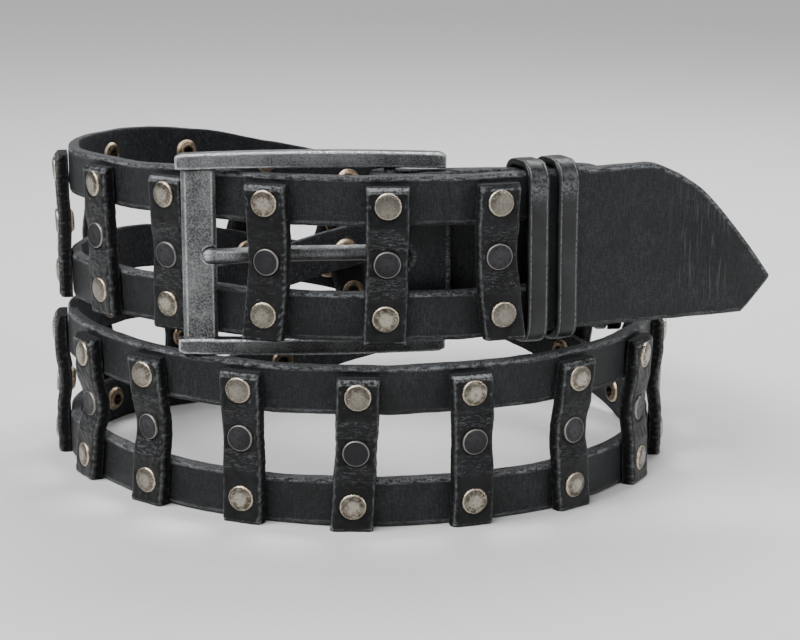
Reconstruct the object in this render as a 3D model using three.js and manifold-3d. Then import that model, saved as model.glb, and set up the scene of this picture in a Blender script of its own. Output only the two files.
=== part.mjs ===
// A studded ladder belt, lying wound in two stacked turns with its buckle fastened at the front.
// Millimetres, +Z up, the front of the coil faces -Y, and the belt rests on the plane z = 0.
import * as THREE from "three";
import { mergeVertices } from "three/addons/utils/BufferGeometryUtils.js";
import Module from "manifold-3d";

const wasm = await Module();
wasm.setup();

// Driving sizes
const STRAP_WIDTH = 50;          // height of the belt as it stands on its edge
const LEATHER = 4;               // thickness of the strap
const STRIP_WIDTH = 15;          // each of the two strips that the long gap leaves
const PITCH = 33.7;              // from one rung to the next
const COIL_RADIUS = 98;          // middle of the strap's thickness, lower turn
const TURN_GAP = 5.9;            // between the two stacked turns at the front
const NEST_GAP = 1.6;            // play between two turns that lie one inside the other
const CLEAR = 0.3;               // gap between pieces that touch
const STEP = 1.5;                // along the strap, to find its direction at a place

const RUNG_WIDTH = 12.8;
const RUNG_THICKNESS = 4.3;
const RUNG_BEVEL = 1.4;
const RUNG_TOP_INSET = 2.6;      // the rung ends this far under the strap's upper edge
const SEAT_MARGIN = 0.6;         // flat strap past each side of a rung or rivet

const RIVET_EDGE = 8;            // rivet centre to the strap's edge
const CAP_DIAMETER = 8.2;
const CAP_TOP_DIAMETER = 7.4;
const CAP_HEIGHT = 1.2;
const BACK_DIAMETER = 8.4;
const BACK_TOP_DIAMETER = 7.1;
const BACK_HEIGHT = 1.5;
const MIDDLE_BACK_HEIGHT = 0.8;
const POST_DIAMETER = 3.4;

const TIP_LENGTH = 96.5;         // from the point to the first rung
const TIP_SOLID = 82;            // the strap is whole up to here, then the long gap starts
const TAB_SOLID = 74;            // whole leather before the fold
const FLAP_LENGTH = 18;          // folded leather past the pivot
const SLOT_HEIGHT = 9;           // slot for the prong
const SLOT_REACH = 6.5;          // how far the slot runs to each side of the pivot
const FOLD_PLACE = 0.873;        // in pitches from the first rung
const CUT_RUNGS = [1, 11, 22, 32];   // rungs that hide a cut between two pieces of the strap

const PIVOT_DIAMETER = 3.6;
const FRAME_PLAY = 0.9;          // strap's edge to the rail
const RAIL_HEIGHT = 4.6;
const RAIL_DEPTH = 5;
const RAIL_BOW = 0.8;            // of a rail's outer edge
const RAIL_INNER_BOW = 0.4;
const RAIL_CORNER = 1.15;
const RAIL_TAIL = 17;            // rail past the pivot
const RAIL_NOSE = 6.8;           // rail past the middle of the outer bar
const OUTER_BAR_WIDTH = 10.4;
const OUTER_BAR_THICKNESS = 3.4;
const OUTER_BAR_BEVEL = 1.2;
const OUTER_BAR_PLACE = 2.62;    // in pitches from the first rung
const PRONG_DIAMETER = 4.8;
const PRONG_WALL = 2;            // wall of the prong's eye
const PRONG_EYE_HEIGHT = 5.3;
const PRONG_SEAT = 1;            // depth of the rest for the prong in the outer bar
const PRONG_SHORT = 1;           // the prong's tip short of the middle of the outer bar

const KEEPER_WIDTH = 7;
const KEEPER_THICKNESS = 2;
const KEEPER_CORNER = 4.2;
const KEEPER_PLAY = 0.6;         // past the usual gap
const KEEPER_MARGIN = 3;         // strap that a keeper clears past each of its sides
const KEEPER_PLACES = [12.2, 22.2];  // from the first rung towards the point

const TAB_RIVET_EDGE = 5;        // from the flap's end
const TAB_RIVET_HEAD = 6;
const TAB_RIVET_HEAD_HEIGHT = 1;

// Sizes worked out from those above
const HALF_WIDTH = STRAP_WIDTH / 2;
const HALF_LEATHER = LEATHER / 2;
const STACK = STRAP_WIDTH + TURN_GAP;
const NEST = LEATHER + RUNG_THICKNESS + CAP_HEIGHT + BACK_HEIGHT + 2 * CLEAR + NEST_GAP;
const SEAT_HALF = RUNG_WIDTH / 2 + SEAT_MARGIN;
const TAB_RIVET_PLACE = FLAP_LENGTH - TAB_RIVET_EDGE;
const TAB_SEAT_HALF = TAB_RIVET_HEAD / 2 + SEAT_MARGIN;
const PIVOT_RADIUS = PIVOT_DIAMETER / 2;
const FOLD_RADIUS = PIVOT_RADIUS + CLEAR + HALF_LEATHER;
const CURVED_CLEAR = 1.5 * CLEAR;
const PLY = LEATHER + CURVED_CLEAR;
const FRAME_HEIGHT = STRAP_WIDTH + 2 * (FRAME_PLAY + RAIL_HEIGHT);
const PRONG_SEAT_RADIUS = PRONG_DIAMETER / 2 + CLEAR;

// Sides of the round pieces
const SIDES = { post: 4, cap: 8, back: 6, pin: 8, rod: 8, eye: 10 };

// The coil, seen from above, from the strap's point nearly to its tab. turn: degrees round the coil
// from its front, clockwise; reach: distance from the coil's centre over COIL_RADIUS; nest: how far it
// lies inside the turn around it, in NEST; lift: height of the strap's lower edge over STACK.
const COIL = [
  { turn: -70.2, reach: 1.422, nest: 0, lift: 1.007 },
  { turn: -58.3, reach: 1.185, nest: 0, lift: 1.007 },
  { turn: -44.4, reach: 1.039, nest: 0, lift: 1.007 },
  { turn: -27.3, reach: 0.969, nest: 0, lift: 1.006 },
  { turn: -6.2, reach: 0.932, nest: 0, lift: 1.005 },
  { turn: 15.9, reach: 0.914, nest: 0, lift: 1.003 },
  { turn: 37.5, reach: 0.904, nest: 0, lift: 0.996 },
  { turn: 58.9, reach: 0.927, nest: 0, lift: 0.977 },
  { turn: 79.7, reach: 0.98, nest: 0, lift: 0.962 },
  { turn: 101, reach: 0.906, nest: 0, lift: 0.955 },
  { turn: 112, reach: 0.837, nest: 0, lift: 0.938 },
  { turn: 123, reach: 0.775, nest: 0, lift: 0.9 },
  { turn: 136, reach: 0.742, nest: 0, lift: 0.838 },
  { turn: 149, reach: 0.74, nest: 0, lift: 0.766 },
  { turn: 173.7, reach: 0.735, nest: 0, lift: 0.626 },
  { turn: 198.8, reach: 0.782, nest: 0, lift: 0.483 },
  { turn: 221.3, reach: 0.85, nest: 0, lift: 0.322 },
  { turn: 241.2, reach: 0.905, nest: 0, lift: 0.17 },
  { turn: 259.7, reach: 0.96, nest: 0, lift: 0.041 },
  { turn: 269, reach: 0.983, nest: 0, lift: 0 },
  { turn: 280.6, reach: 1.002, nest: 0, lift: 0 },
  { turn: 300.3, reach: 1.028, nest: 0, lift: 0 },
  { turn: 319.7, reach: 1.028, nest: 0, lift: 0 },
  { turn: 339.4, reach: 1.005, nest: 0, lift: 0 },
  { turn: 359.4, reach: 1.0, nest: 0, lift: 0 },
  { turn: 379.6, reach: 0.979, nest: 0, lift: 0 },
  { turn: 399.8, reach: 0.978, nest: 0, lift: 0 },
  { turn: 420, reach: 0.985, nest: 0, lift: 0 },
  { turn: 439.8, reach: 0.998, nest: 0, lift: 0 },
  { turn: 461, reach: 0.908, nest: 0, lift: 0 },
  { turn: 474, reach: 0.825, nest: 0.3, lift: 0 },
  { turn: 486, reach: 0.765, nest: 0.6, lift: 0.006 },
  { turn: 497, reach: 0.742, nest: 0.88, lift: 0.04 },
  { turn: 509, reach: 0.74, nest: 1.1, lift: 0.09 },
  { turn: 533.7, reach: 0.735, nest: 1.19, lift: 0.2 },
  { turn: 558.8, reach: 0.782, nest: 1.14, lift: 0.31 },
  { turn: 581.3, reach: 0.85, nest: 1.13, lift: 0.42 },
  { turn: 601.2, reach: 0.905, nest: 1.13, lift: 0.53 },
  { turn: 620, reach: 0.965, nest: 1.13, lift: 0.63 },
  { turn: 640.6, reach: 1.002, nest: 1.12, lift: 0.745 },
  { turn: 655, reach: 1.02, nest: 1.05, lift: 0.865 },
  { turn: 665, reach: 1.028, nest: 0.85, lift: 0.945 },
];

// The coil's last rows lie inside its first turn, two turns on. before: distance before the fold, in
// pitches; nest and lift as above.
const TAB_ROWS = [
  { before: 1.78, nest: 0.61, lift: 1.001 },
  { before: 1.3, nest: 0.535, lift: 1.004 },
  { before: 0.9, nest: 0.685, lift: 1.003 },
  { before: 0.55, nest: 0.895, lift: 1.002 },
  { before: 0, nest: 1.14, lift: 1.002 },
];
const TWO_TURNS = 720;

// The strap's pointed end. along: from the point, over TIP_LENGTH; low and high: its lower and upper
// outline over STRAP_WIDTH.
const TIP_OUTLINE = [
  { along: 0, low: 0.205, high: 0.225 },
  { along: 0.106, low: 0, high: 0.478 },
  { along: 0.258, low: 0, high: 0.8 },
  { along: 0.326, low: 0, high: 0.887 },
  { along: 0.395, low: 0, high: 0.954 },
  { along: 0.456, low: 0, high: 1 },
];

const leather = { color: 0x17181a, roughness: 0.62, metalness: 0 };
const barLeather = { color: 0x101113, roughness: 0.55, metalness: 0 };
const steel = { color: 0x6d6e6e, roughness: 0.42, metalness: 1 };

// The strap's middle line as a curve measured by its own length
function coilLine(coil) {
  const rows = coil.map(({ turn, reach, nest, lift }) =>
    new THREE.Vector3(turn, COIL_RADIUS * reach - NEST * nest, STACK * lift));
  const table = new THREE.CatmullRomCurve3(rows, false, "centripetal");
  const steps = 2400;
  const points = [];
  for (let i = 0; i <= steps; i += 1) {
    const row = table.getPoint(i / steps);
    const angle = THREE.MathUtils.degToRad(row.x);
    const height = Math.max(0, row.z) + HALF_WIDTH;
    points.push(new THREE.Vector3(-row.y * Math.sin(angle), -row.y * Math.cos(angle), height));
  }
  const lengths = [0];
  for (let i = 1; i <= steps; i += 1) lengths.push(lengths[i - 1] + points[i].distanceTo(points[i - 1]));
  return { points, lengths, total: lengths[steps] };
}

function pointOn(s, { points, lengths } = line) {
  let low = 0;
  let high = lengths.length - 1;
  while (high - low > 1) {
    const middle = (low + high) >> 1;
    if (lengths[middle] <= s) low = middle;
    else high = middle;
  }
  const share = (s - lengths[low]) / (lengths[high] - lengths[low]);
  return points[low].clone().lerp(points[high], share);
}

// The tab's rows take their turn and reach from the first turn, where it passes them
function withTab(coil) {
  const firstTurn = coilLine(coil);
  const tab = TAB_ROWS.map(({ before, nest, lift }) => {
    const over = pointOn(TIP_LENGTH + (FOLD_PLACE - before) * PITCH, firstTurn);
    const turn = TWO_TURNS + THREE.MathUtils.radToDeg(Math.atan2(-over.x, -over.y));
    return { turn, reach: Math.hypot(over.x, over.y) / COIL_RADIUS, nest, lift };
  });
  return [...coil, ...tab];
}

const line = coilLine(withTab(COIL));

// Directions of a piece of strap: travel along it, outward from the coil, and up across its width
function axesOf(travel) {
  const along = travel.clone().normalize();
  const out = new THREE.Vector3(-along.y, along.x, 0).normalize();
  const up = along.clone().cross(out);
  return { along, out, up };
}

function stationAt(s) {
  const from = Math.max(0, s - STEP);
  const to = Math.min(line.total, s + STEP);
  return { middle: pointOn(s), ...axesOf(pointOn(to).sub(pointOn(from))) };
}

// Rungs and rivets sit on the flat between two stations of the strap
function seatAt(s, half) {
  const from = pointOn(s - half);
  const to = pointOn(s + half);
  return { middle: from.clone().add(to).multiplyScalar(0.5), ...axesOf(to.sub(from)) };
}

function matrixOf({ middle, along, out, up }) {
  return new THREE.Matrix4().makeBasis(along, out, up).setPosition(middle);
}

const rungCount = Math.floor((line.total - TIP_LENGTH - TAB_SOLID) / PITCH) + 1;
const rungPlaces = Array.from({ length: rungCount }, (_, k) => TIP_LENGTH + k * PITCH);

// Solids for cuts and joins
function solidOf(geometry) {
  const bare = geometry.clone();
  for (const name of Object.keys(bare.attributes)) if (name !== "position") bare.deleteAttribute(name);
  const merged = mergeVertices(bare, 1e-4);
  return new wasm.Manifold(new wasm.Mesh({
    numProp: 3,
    vertProperties: new Float32Array(merged.attributes.position.array),
    triVerts: new Uint32Array(merged.index.array),
  }));
}

function geometryOf(solid) {
  const mesh = solid.getMesh();
  const geometry = new THREE.BufferGeometry();
  geometry.setAttribute("position", new THREE.BufferAttribute(new Float32Array(mesh.vertProperties), 3));
  geometry.setIndex(new THREE.BufferAttribute(new Uint32Array(mesh.triVerts), 1));
  geometry.computeVertexNormals();
  return geometry;
}

// A cylinder or cone piece whose axis is the local y axis, between two values of y
function disc(bottomDiameter, topDiameter, y0, y1, sides, z = 0) {
  const geometry = new THREE.CylinderGeometry(topDiameter / 2, bottomDiameter / 2, y1 - y0, sides);
  geometry.rotateY(Math.PI / sides);
  geometry.translate(0, (y0 + y1) / 2, z);
  return geometry;
}

function joined(geometries) {
  return geometries.map(solidOf).reduce((sum, solid) => sum.add(solid));
}

// The strap is a grid of leather cells: stations along it, rows across it. A station's kind says which
// rows the cells after it leave open: none, the long gap's or the slot's. The grid comes in spans, which
// end at the cuts under CUT_RUNGS.
function strapSpans() {
  const spans = [];
  let stations = [];
  const add = (place, extra = {}) => stations.push({ low: 0, high: 1, kind: "whole", ...place, ...extra });
  for (const row of TIP_OUTLINE) {
    add(stationAt(row.along * TIP_LENGTH), { low: row.low, high: row.high });
  }
  add(stationAt((TIP_OUTLINE.at(-1).along * TIP_LENGTH + TIP_SOLID) / 2));
  add(stationAt(TIP_SOLID), { kind: "ladder" });
  rungPlaces.forEach((s, k) => {
    const seat = seatAt(s, SEAT_HALF);
    const addRung = (past) => {
      add({ ...seat, middle: seat.middle.clone().addScaledVector(seat.along, past) }, { kind: "ladder" });
    };
    addRung(-SEAT_HALF);
    if (CUT_RUNGS.includes(k + 1)) {
      addRung(-CLEAR / 2);
      spans.push(stations);
      stations = [];
      addRung(CLEAR / 2);
    }
    addRung(SEAT_HALF);
  });
  const tabStart = line.total - TAB_SOLID + SEAT_HALF;
  const tabSeat = line.total - TAB_RIVET_PLACE;
  const tabSteps = 4;
  for (let i = 0; i <= tabSteps; i += 1) {
    add(stationAt(THREE.MathUtils.lerp(tabStart, tabSeat - TAB_SEAT_HALF, i / tabSteps)));
  }
  add(stationAt(tabSeat + TAB_SEAT_HALF));
  add(stationAt(line.total - SLOT_REACH), { kind: "slot" });
  const end = stationAt(line.total);
  add(end, { kind: "slot" });
  const foldSteps = 6;
  for (let i = 1; i < foldSteps; i += 1) add(foldStation(end, (Math.PI * i) / foldSteps), { kind: "slot" });
  add(flapStation(0), { kind: "slot" });
  add(flapStation(SLOT_REACH));
  add(flapStation(TAB_RIVET_PLACE - TAB_SEAT_HALF));
  add(flapStation(TAB_RIVET_PLACE + TAB_SEAT_HALF));
  add(flapStation(FLAP_LENGTH));
  spans.push(stations);
  return spans;
}

// The fold round the pivot: the strap turns outward and comes back towards the point's side
function foldStation(end, angle) {
  const centre = end.middle.clone().addScaledVector(end.out, FOLD_RADIUS);
  const out = end.out.clone().multiplyScalar(Math.cos(angle)).addScaledVector(end.along, -Math.sin(angle));
  const along = end.along.clone().multiplyScalar(Math.cos(angle)).addScaledVector(end.out, Math.sin(angle));
  return { middle: centre.addScaledVector(out, -FOLD_RADIUS), along, out, up: end.up };
}

function flapStation(distance) {
  const under = stationAt(line.total - distance);
  const share = THREE.MathUtils.smoothstep(distance, 0, FLAP_LENGTH);
  const offset = THREE.MathUtils.lerp(2 * FOLD_RADIUS, PLY, share);
  return {
    middle: under.middle.clone().addScaledVector(under.out, offset),
    along: under.along.clone().negate(),
    out: under.out.clone().negate(),
    up: under.up,
  };
}

const ROWS = [0, 1, 2, 3, 4];

function strapGeometry(stations, rows) {
  const slotLow = (STRAP_WIDTH - SLOT_HEIGHT) / 2;
  const heights = [0, STRIP_WIDTH, slotLow, STRAP_WIDTH - slotLow, STRAP_WIDTH - STRIP_WIDTH, STRAP_WIDTH];
  const rowCount = heights.length;
  const positions = [];
  stations.forEach(({ middle, out, up, low, high }) => {
    for (const side of [-HALF_LEATHER, HALF_LEATHER]) {
      for (const height of heights) {
        const across = THREE.MathUtils.lerp(low * STRAP_WIDTH, high * STRAP_WIDTH, height / STRAP_WIDTH);
        const point = middle.clone().addScaledVector(out, side).addScaledVector(up, across - HALF_WIDTH);
        positions.push(point.x, point.y, point.z);
      }
    }
  });
  const corner = (i, side, j) => (2 * i + side) * rowCount + j;
  const filled = (i, j) => {
    if (i < 0 || i >= stations.length - 1 || !rows.includes(j)) return false;
    const { kind } = stations[i];
    const inMiddle = j === 2;
    const inGap = j >= 1 && j <= 3;
    if (kind === "ladder") return !inGap;
    if (kind === "slot") return !inMiddle;
    return true;
  };
  const faces = [];
  const quad = (a, b, c, d) => faces.push(a, b, c, a, c, d);
  for (let i = 0; i < stations.length - 1; i += 1) {
    for (let j = 0; j < rowCount - 1; j += 1) {
      if (!filled(i, j)) continue;
      quad(corner(i, 1, j), corner(i, 1, j + 1), corner(i + 1, 1, j + 1), corner(i + 1, 1, j));
      quad(corner(i, 0, j), corner(i + 1, 0, j), corner(i + 1, 0, j + 1), corner(i, 0, j + 1));
      if (!filled(i, j - 1)) quad(corner(i, 0, j), corner(i, 1, j), corner(i + 1, 1, j), corner(i + 1, 0, j));
      if (!filled(i, j + 1)) {
        quad(corner(i, 0, j + 1), corner(i + 1, 0, j + 1), corner(i + 1, 1, j + 1), corner(i, 1, j + 1));
      }
      if (!filled(i - 1, j)) quad(corner(i, 0, j), corner(i, 0, j + 1), corner(i, 1, j + 1), corner(i, 1, j));
      if (!filled(i + 1, j)) {
        quad(corner(i + 1, 0, j), corner(i + 1, 1, j), corner(i + 1, 1, j + 1), corner(i + 1, 0, j + 1));
      }
    }
  }
  const geometry = new THREE.BufferGeometry();
  geometry.setAttribute("position", new THREE.Float32BufferAttribute(positions, 3));
  geometry.setIndex(faces);
  return geometry;
}

const rivetHeights = [-HALF_WIDTH + RIVET_EDGE, HALF_WIDTH - RIVET_EDGE];

// Every hole for a rivet's post, as one solid
function strapHoles() {
  const holes = [];
  const holeDiameter = POST_DIAMETER + 2 * CLEAR;
  const bore = (place, depth) => {
    for (const z of rivetHeights) {
      const hole = disc(holeDiameter, holeDiameter, -LEATHER, depth, SIDES.post, z);
      holes.push(solidOf(hole.applyMatrix4(matrixOf(place))));
    }
  };
  for (const s of rungPlaces) bore(seatAt(s, SEAT_HALF), LEATHER);
  bore(seatAt(line.total - TAB_RIVET_PLACE, TAB_SEAT_HALF), 3 * LEATHER);
  return wasm.Manifold.compose(holes);
}

// The strap's pieces by name: the pointed end, the two strips in each span, and the tab
function strapPieces() {
  const holes = strapHoles();
  const spans = strapSpans();
  const pieces = [];
  const add = (name, span, rows) => {
    pieces.push({ name, geometry: geometryOf(solidOf(strapGeometry(span, rows)).subtract(holes)) });
  };
  const [lower, ...middle] = ROWS;
  const upper = middle.pop();
  add("strap_tip", spans.at(0), ROWS);
  spans.slice(1, -1).forEach((span, k) => {
    add(`strip_lower_${k + 1}`, span, [lower]);
    add(`strip_upper_${k + 1}`, span, [upper]);
  });
  add("strap_tab", spans.at(-1), ROWS);
  return pieces;
}

// One rung: a thick leather bar with its three rivets, which pass through the strips
function rungGeometry() {
  const back = HALF_LEATHER + CLEAR;
  const front = back + RUNG_THICKNESS;
  const half = RUNG_WIDTH / 2;
  const outline = new THREE.Shape([
    new THREE.Vector2(-half, back),
    new THREE.Vector2(half, back),
    new THREE.Vector2(half, front - RUNG_BEVEL),
    new THREE.Vector2(half - RUNG_BEVEL, front),
    new THREE.Vector2(-half + RUNG_BEVEL, front),
    new THREE.Vector2(-half, front - RUNG_BEVEL),
  ]);
  const height = STRAP_WIDTH - RUNG_TOP_INSET;
  const bar = new THREE.ExtrudeGeometry(outline, { depth: height, bevelEnabled: false });
  bar.translate(0, 0, -HALF_WIDTH);
  const inside = -HALF_LEATHER - CLEAR;
  const parts = [bar];
  const cap = (z) => disc(CAP_DIAMETER, CAP_TOP_DIAMETER, front - CLEAR, front + CAP_HEIGHT, SIDES.cap, z);
  for (const z of rivetHeights) {
    parts.push(cap(z));
    parts.push(disc(POST_DIAMETER, POST_DIAMETER, inside - CLEAR, back + CLEAR, SIDES.post, z));
    parts.push(disc(BACK_TOP_DIAMETER, BACK_DIAMETER, inside - BACK_HEIGHT, inside, SIDES.back, z));
  }
  parts.push(cap(0));
  parts.push(disc(CAP_DIAMETER, CAP_DIAMETER, back - MIDDLE_BACK_HEIGHT, back + CLEAR, SIDES.back));
  return geometryOf(joined(parts));
}

function mesh(name, geometry, finish) {
  const object = new THREE.Mesh(geometry, new THREE.MeshStandardMaterial(finish));
  object.name = name;
  return object;
}

const belt = new THREE.Group();
for (const { name, geometry } of strapPieces()) belt.add(mesh(name, geometry, leather));
const rung = rungGeometry();
rungPlaces.forEach((s, k) => {
  const object = mesh(`rung_${String(k + 1).padStart(2, "0")}`, rung, barLeather);
  matrixOf(seatAt(s, SEAT_HALF)).decompose(object.position, object.quaternion, object.scale);
  belt.add(object);
});

// The buckle: a frame of two rails, an outer bar and a pivot, lying in one upright plane
const foldEnd = stationAt(line.total);
const pivot = foldEnd.middle.clone().addScaledVector(foldEnd.out, FOLD_RADIUS);
const barStation = stationAt(TIP_LENGTH + OUTER_BAR_PLACE * PITCH);
const barSkew = Math.abs(barStation.middle.clone().sub(pivot).normalize().dot(barStation.out));
const barOffset = HALF_LEATHER + OUTER_BAR_THICKNESS / 2 + (barSkew * OUTER_BAR_WIDTH) / 2 + 2 * CLEAR;
const barMiddle = barStation.middle.clone().addScaledVector(barStation.out, barOffset);
const frameTravel = barMiddle.clone().sub(pivot).setZ(0);
const frameReach = frameTravel.length();
const frameAxes = axesOf(frameTravel);
const framePlace = { ...frameAxes, middle: pivot.clone().setZ((pivot.z + barMiddle.z) / 2) };

function railGeometry(sign) {
  const steps = 6;
  const from = -RAIL_TAIL;
  const to = frameReach + RAIL_NOSE;
  const outer = FRAME_HEIGHT / 2;
  const inner = outer - RAIL_HEIGHT;
  const shape = new THREE.Shape();
  const bowed = (i, level, bow) => {
    const share = i / steps;
    const x = THREE.MathUtils.lerp(from, to, share);
    shape.lineTo(x, sign * (level + bow * Math.sin(Math.PI * share)));
  };
  shape.moveTo(from, sign * (outer - RAIL_CORNER));
  for (let i = 1; i < steps; i += 1) bowed(i, outer, RAIL_BOW);
  shape.lineTo(to, sign * (outer - RAIL_CORNER));
  shape.lineTo(to, sign * inner);
  for (let i = steps - 1; i > 0; i -= 1) bowed(i, inner, RAIL_INNER_BOW);
  shape.lineTo(from, sign * inner);
  const rail = new THREE.ExtrudeGeometry(shape, { depth: RAIL_DEPTH, bevelEnabled: false });
  rail.rotateX(Math.PI / 2);
  rail.translate(0, RAIL_DEPTH / 2, 0);
  return rail;
}

function frameGeometry() {
  const half = OUTER_BAR_WIDTH / 2;
  const thick = OUTER_BAR_THICKNESS / 2;
  const bevel = OUTER_BAR_BEVEL;
  const outline = new THREE.Shape([
    new THREE.Vector2(-half, -thick),
    new THREE.Vector2(half, -thick),
    new THREE.Vector2(half, thick - bevel),
    new THREE.Vector2(half - bevel, thick),
    new THREE.Vector2(-half + bevel, thick),
    new THREE.Vector2(-half, thick - bevel),
  ]);
  const barHeight = FRAME_HEIGHT - RAIL_HEIGHT;
  const bar = new THREE.ExtrudeGeometry(outline, { depth: barHeight, bevelEnabled: false });
  bar.translate(frameReach, 0, -barHeight / 2);
  const pin = new THREE.CylinderGeometry(PIVOT_RADIUS, PIVOT_RADIUS, barHeight, SIDES.pin);
  pin.rotateX(Math.PI / 2);
  const seatLength = 2 * OUTER_BAR_WIDTH;
  const seat = new THREE.CylinderGeometry(PRONG_SEAT_RADIUS, PRONG_SEAT_RADIUS, seatLength, SIDES.eye);
  seat.rotateZ(Math.PI / 2);
  seat.translate(frameReach, thick - PRONG_SEAT + PRONG_SEAT_RADIUS, 0);
  const body = joined([railGeometry(1), railGeometry(-1), bar, pin]);
  return geometryOf(body.subtract(solidOf(seat)));
}

// The prong: a round rod with an eye round the pivot, and its tip in the outer bar's rest
const PRONG_LINE = [
  { along: 0, out: 0 },
  { along: 0.2, out: 0.02 },
  { along: 0.62, out: 0.18 },
  { along: 0.765, out: 0.4 },
  { along: 0.89, out: 1 },
  { along: 1, out: 1 },
];

function prongGeometry() {
  const tipOut = OUTER_BAR_THICKNESS / 2 - PRONG_SEAT + PRONG_SEAT_RADIUS;
  const reach = frameReach - PRONG_SHORT;
  const eyeOuter = PIVOT_RADIUS + CLEAR + PRONG_WALL;
  const path = new THREE.CatmullRomCurve3(
    PRONG_LINE.map(({ along, out }) => {
      const start = eyeOuter - PRONG_WALL / 2;
      return new THREE.Vector3(THREE.MathUtils.lerp(start, reach, along), out * tipOut, 0);
    }),
  );
  const section = new THREE.Shape();
  for (let i = 0; i < SIDES.rod; i += 1) {
    const angle = ((i + 0.5) / SIDES.rod) * 2 * Math.PI;
    const radius = PRONG_DIAMETER / 2;
    if (i === 0) section.moveTo(radius * Math.cos(angle), radius * Math.sin(angle));
    else section.lineTo(radius * Math.cos(angle), radius * Math.sin(angle));
  }
  const rod = new THREE.ExtrudeGeometry(section, { steps: 6, bevelEnabled: false, extrudePath: path });
  const eyeInner = PIVOT_RADIUS + CLEAR;
  const eye = new THREE.CylinderGeometry(eyeOuter, eyeOuter, PRONG_EYE_HEIGHT, SIDES.eye);
  const bore = new THREE.CylinderGeometry(eyeInner, eyeInner, 2 * PRONG_EYE_HEIGHT, SIDES.eye);
  eye.rotateX(Math.PI / 2);
  bore.rotateX(Math.PI / 2);
  return geometryOf(joined([rod, eye]).subtract(solidOf(bore)));
}

function placed(object, place) {
  matrixOf(place).decompose(object.position, object.quaternion, object.scale);
  return object;
}

belt.add(placed(mesh("buckle_frame", frameGeometry(), steel), framePlace));
belt.add(placed(mesh("prong", prongGeometry(), steel), framePlace));

// A keeper: a leather band round the pointed end and the strap behind it
function keeperDepth(front) {
  let depth = 0;
  for (let s = line.total - TAB_SOLID; s < line.total; s += 1) {
    const gap = pointOn(s).sub(front.middle);
    if (Math.abs(gap.dot(front.along)) > KEEPER_WIDTH / 2 + KEEPER_MARGIN) continue;
    depth = Math.min(depth, gap.dot(front.out));
  }
  return depth;
}

function bandShape(low, high, bottom, top, radius) {
  const shape = new THREE.Shape();
  const corners = [
    { x: high - radius, y: top - radius, start: 0 },
    { x: low + radius, y: top - radius, start: 0.5 },
    { x: low + radius, y: bottom + radius, start: 1 },
    { x: high - radius, y: bottom + radius, start: 1.5 },
  ];
  const steps = 3;
  corners.forEach(({ x, y, start }, c) => {
    for (let i = 0; i <= steps; i += 1) {
      const angle = Math.PI * (start + (0.5 * i) / steps);
      const point = [x + radius * Math.cos(angle), y + radius * Math.sin(angle)];
      if (c === 0 && i === 0) shape.moveTo(...point);
      else shape.lineTo(...point);
    }
  });
  return shape;
}

KEEPER_PLACES.forEach((distance, k) => {
  const front = stationAt(TIP_LENGTH - distance);
  const play = CLEAR + KEEPER_PLAY;
  const low = keeperDepth(front) - HALF_LEATHER - play;
  const high = HALF_LEATHER + play;
  const top = HALF_WIDTH + play;
  const inner = bandShape(low, high, -top, top, KEEPER_CORNER - KEEPER_THICKNESS);
  const wall = KEEPER_THICKNESS;
  const outer = bandShape(low - wall, high + wall, -top - wall, top + wall, KEEPER_CORNER);
  outer.holes.push(inner);
  const band = new THREE.ExtrudeGeometry(outer, { depth: KEEPER_WIDTH, bevelEnabled: false });
  band.translate(0, 0, -KEEPER_WIDTH / 2);
  const basis = new THREE.Matrix4().makeBasis(front.out, front.up, front.along).setPosition(front.middle);
  const object = mesh(`keeper_${k + 1}`, band, leather);
  basis.decompose(object.position, object.quaternion, object.scale);
  belt.add(object);
});

// Two plain rivets hold the folded flap to the strap behind it
rivetHeights.forEach((z, k) => {
  const place = seatAt(line.total - TAB_RIVET_PLACE, TAB_SEAT_HALF);
  const flap = flapStation(TAB_RIVET_PLACE - TAB_SEAT_HALF);
  const offset = flap.middle.clone().sub(place.middle).dot(place.out);
  const inside = -HALF_LEATHER - CLEAR;
  const outside = offset + HALF_LEATHER + CLEAR;
  const head = TAB_RIVET_HEAD;
  const parts = [
    disc(POST_DIAMETER, POST_DIAMETER, inside - CLEAR, outside + CLEAR, SIDES.post, z),
    disc(head, head, inside - TAB_RIVET_HEAD_HEIGHT, inside, SIDES.cap, z),
    disc(head, head, outside, outside + TAB_RIVET_HEAD_HEIGHT, SIDES.cap, z),
  ];
  belt.add(placed(mesh(`tab_rivet_${k + 1}`, geometryOf(joined(parts)), steel), place));
});

// The origin is under the middle of the whole belt
belt.updateMatrixWorld(true);
const box = new THREE.Box3().setFromObject(belt, true);
belt.position.set(-(box.min.x + box.max.x) / 2, -(box.min.y + box.max.y) / 2, 0);

export default belt;
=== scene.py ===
"""A studded ladder belt, lying wound in two stacked turns with its buckle fastened at the front."""
import math

import bpy
import numpy as np
from mathutils import Matrix, Vector


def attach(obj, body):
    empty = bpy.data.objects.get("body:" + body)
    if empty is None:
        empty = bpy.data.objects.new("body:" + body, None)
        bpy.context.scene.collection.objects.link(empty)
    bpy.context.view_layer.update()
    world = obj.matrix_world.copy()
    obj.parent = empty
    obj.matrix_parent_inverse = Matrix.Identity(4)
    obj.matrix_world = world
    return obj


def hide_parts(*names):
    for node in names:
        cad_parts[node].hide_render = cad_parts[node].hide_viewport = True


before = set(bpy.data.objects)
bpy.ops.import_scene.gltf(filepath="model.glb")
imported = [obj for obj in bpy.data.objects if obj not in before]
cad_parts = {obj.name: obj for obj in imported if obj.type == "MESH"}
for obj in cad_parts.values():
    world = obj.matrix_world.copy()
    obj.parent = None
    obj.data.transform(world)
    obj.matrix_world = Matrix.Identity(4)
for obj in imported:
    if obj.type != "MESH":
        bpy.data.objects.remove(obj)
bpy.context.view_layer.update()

# Sizes of the belt, in millimetres
STRAP_WIDTH = 50.0
LEATHER = 4.0
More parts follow.
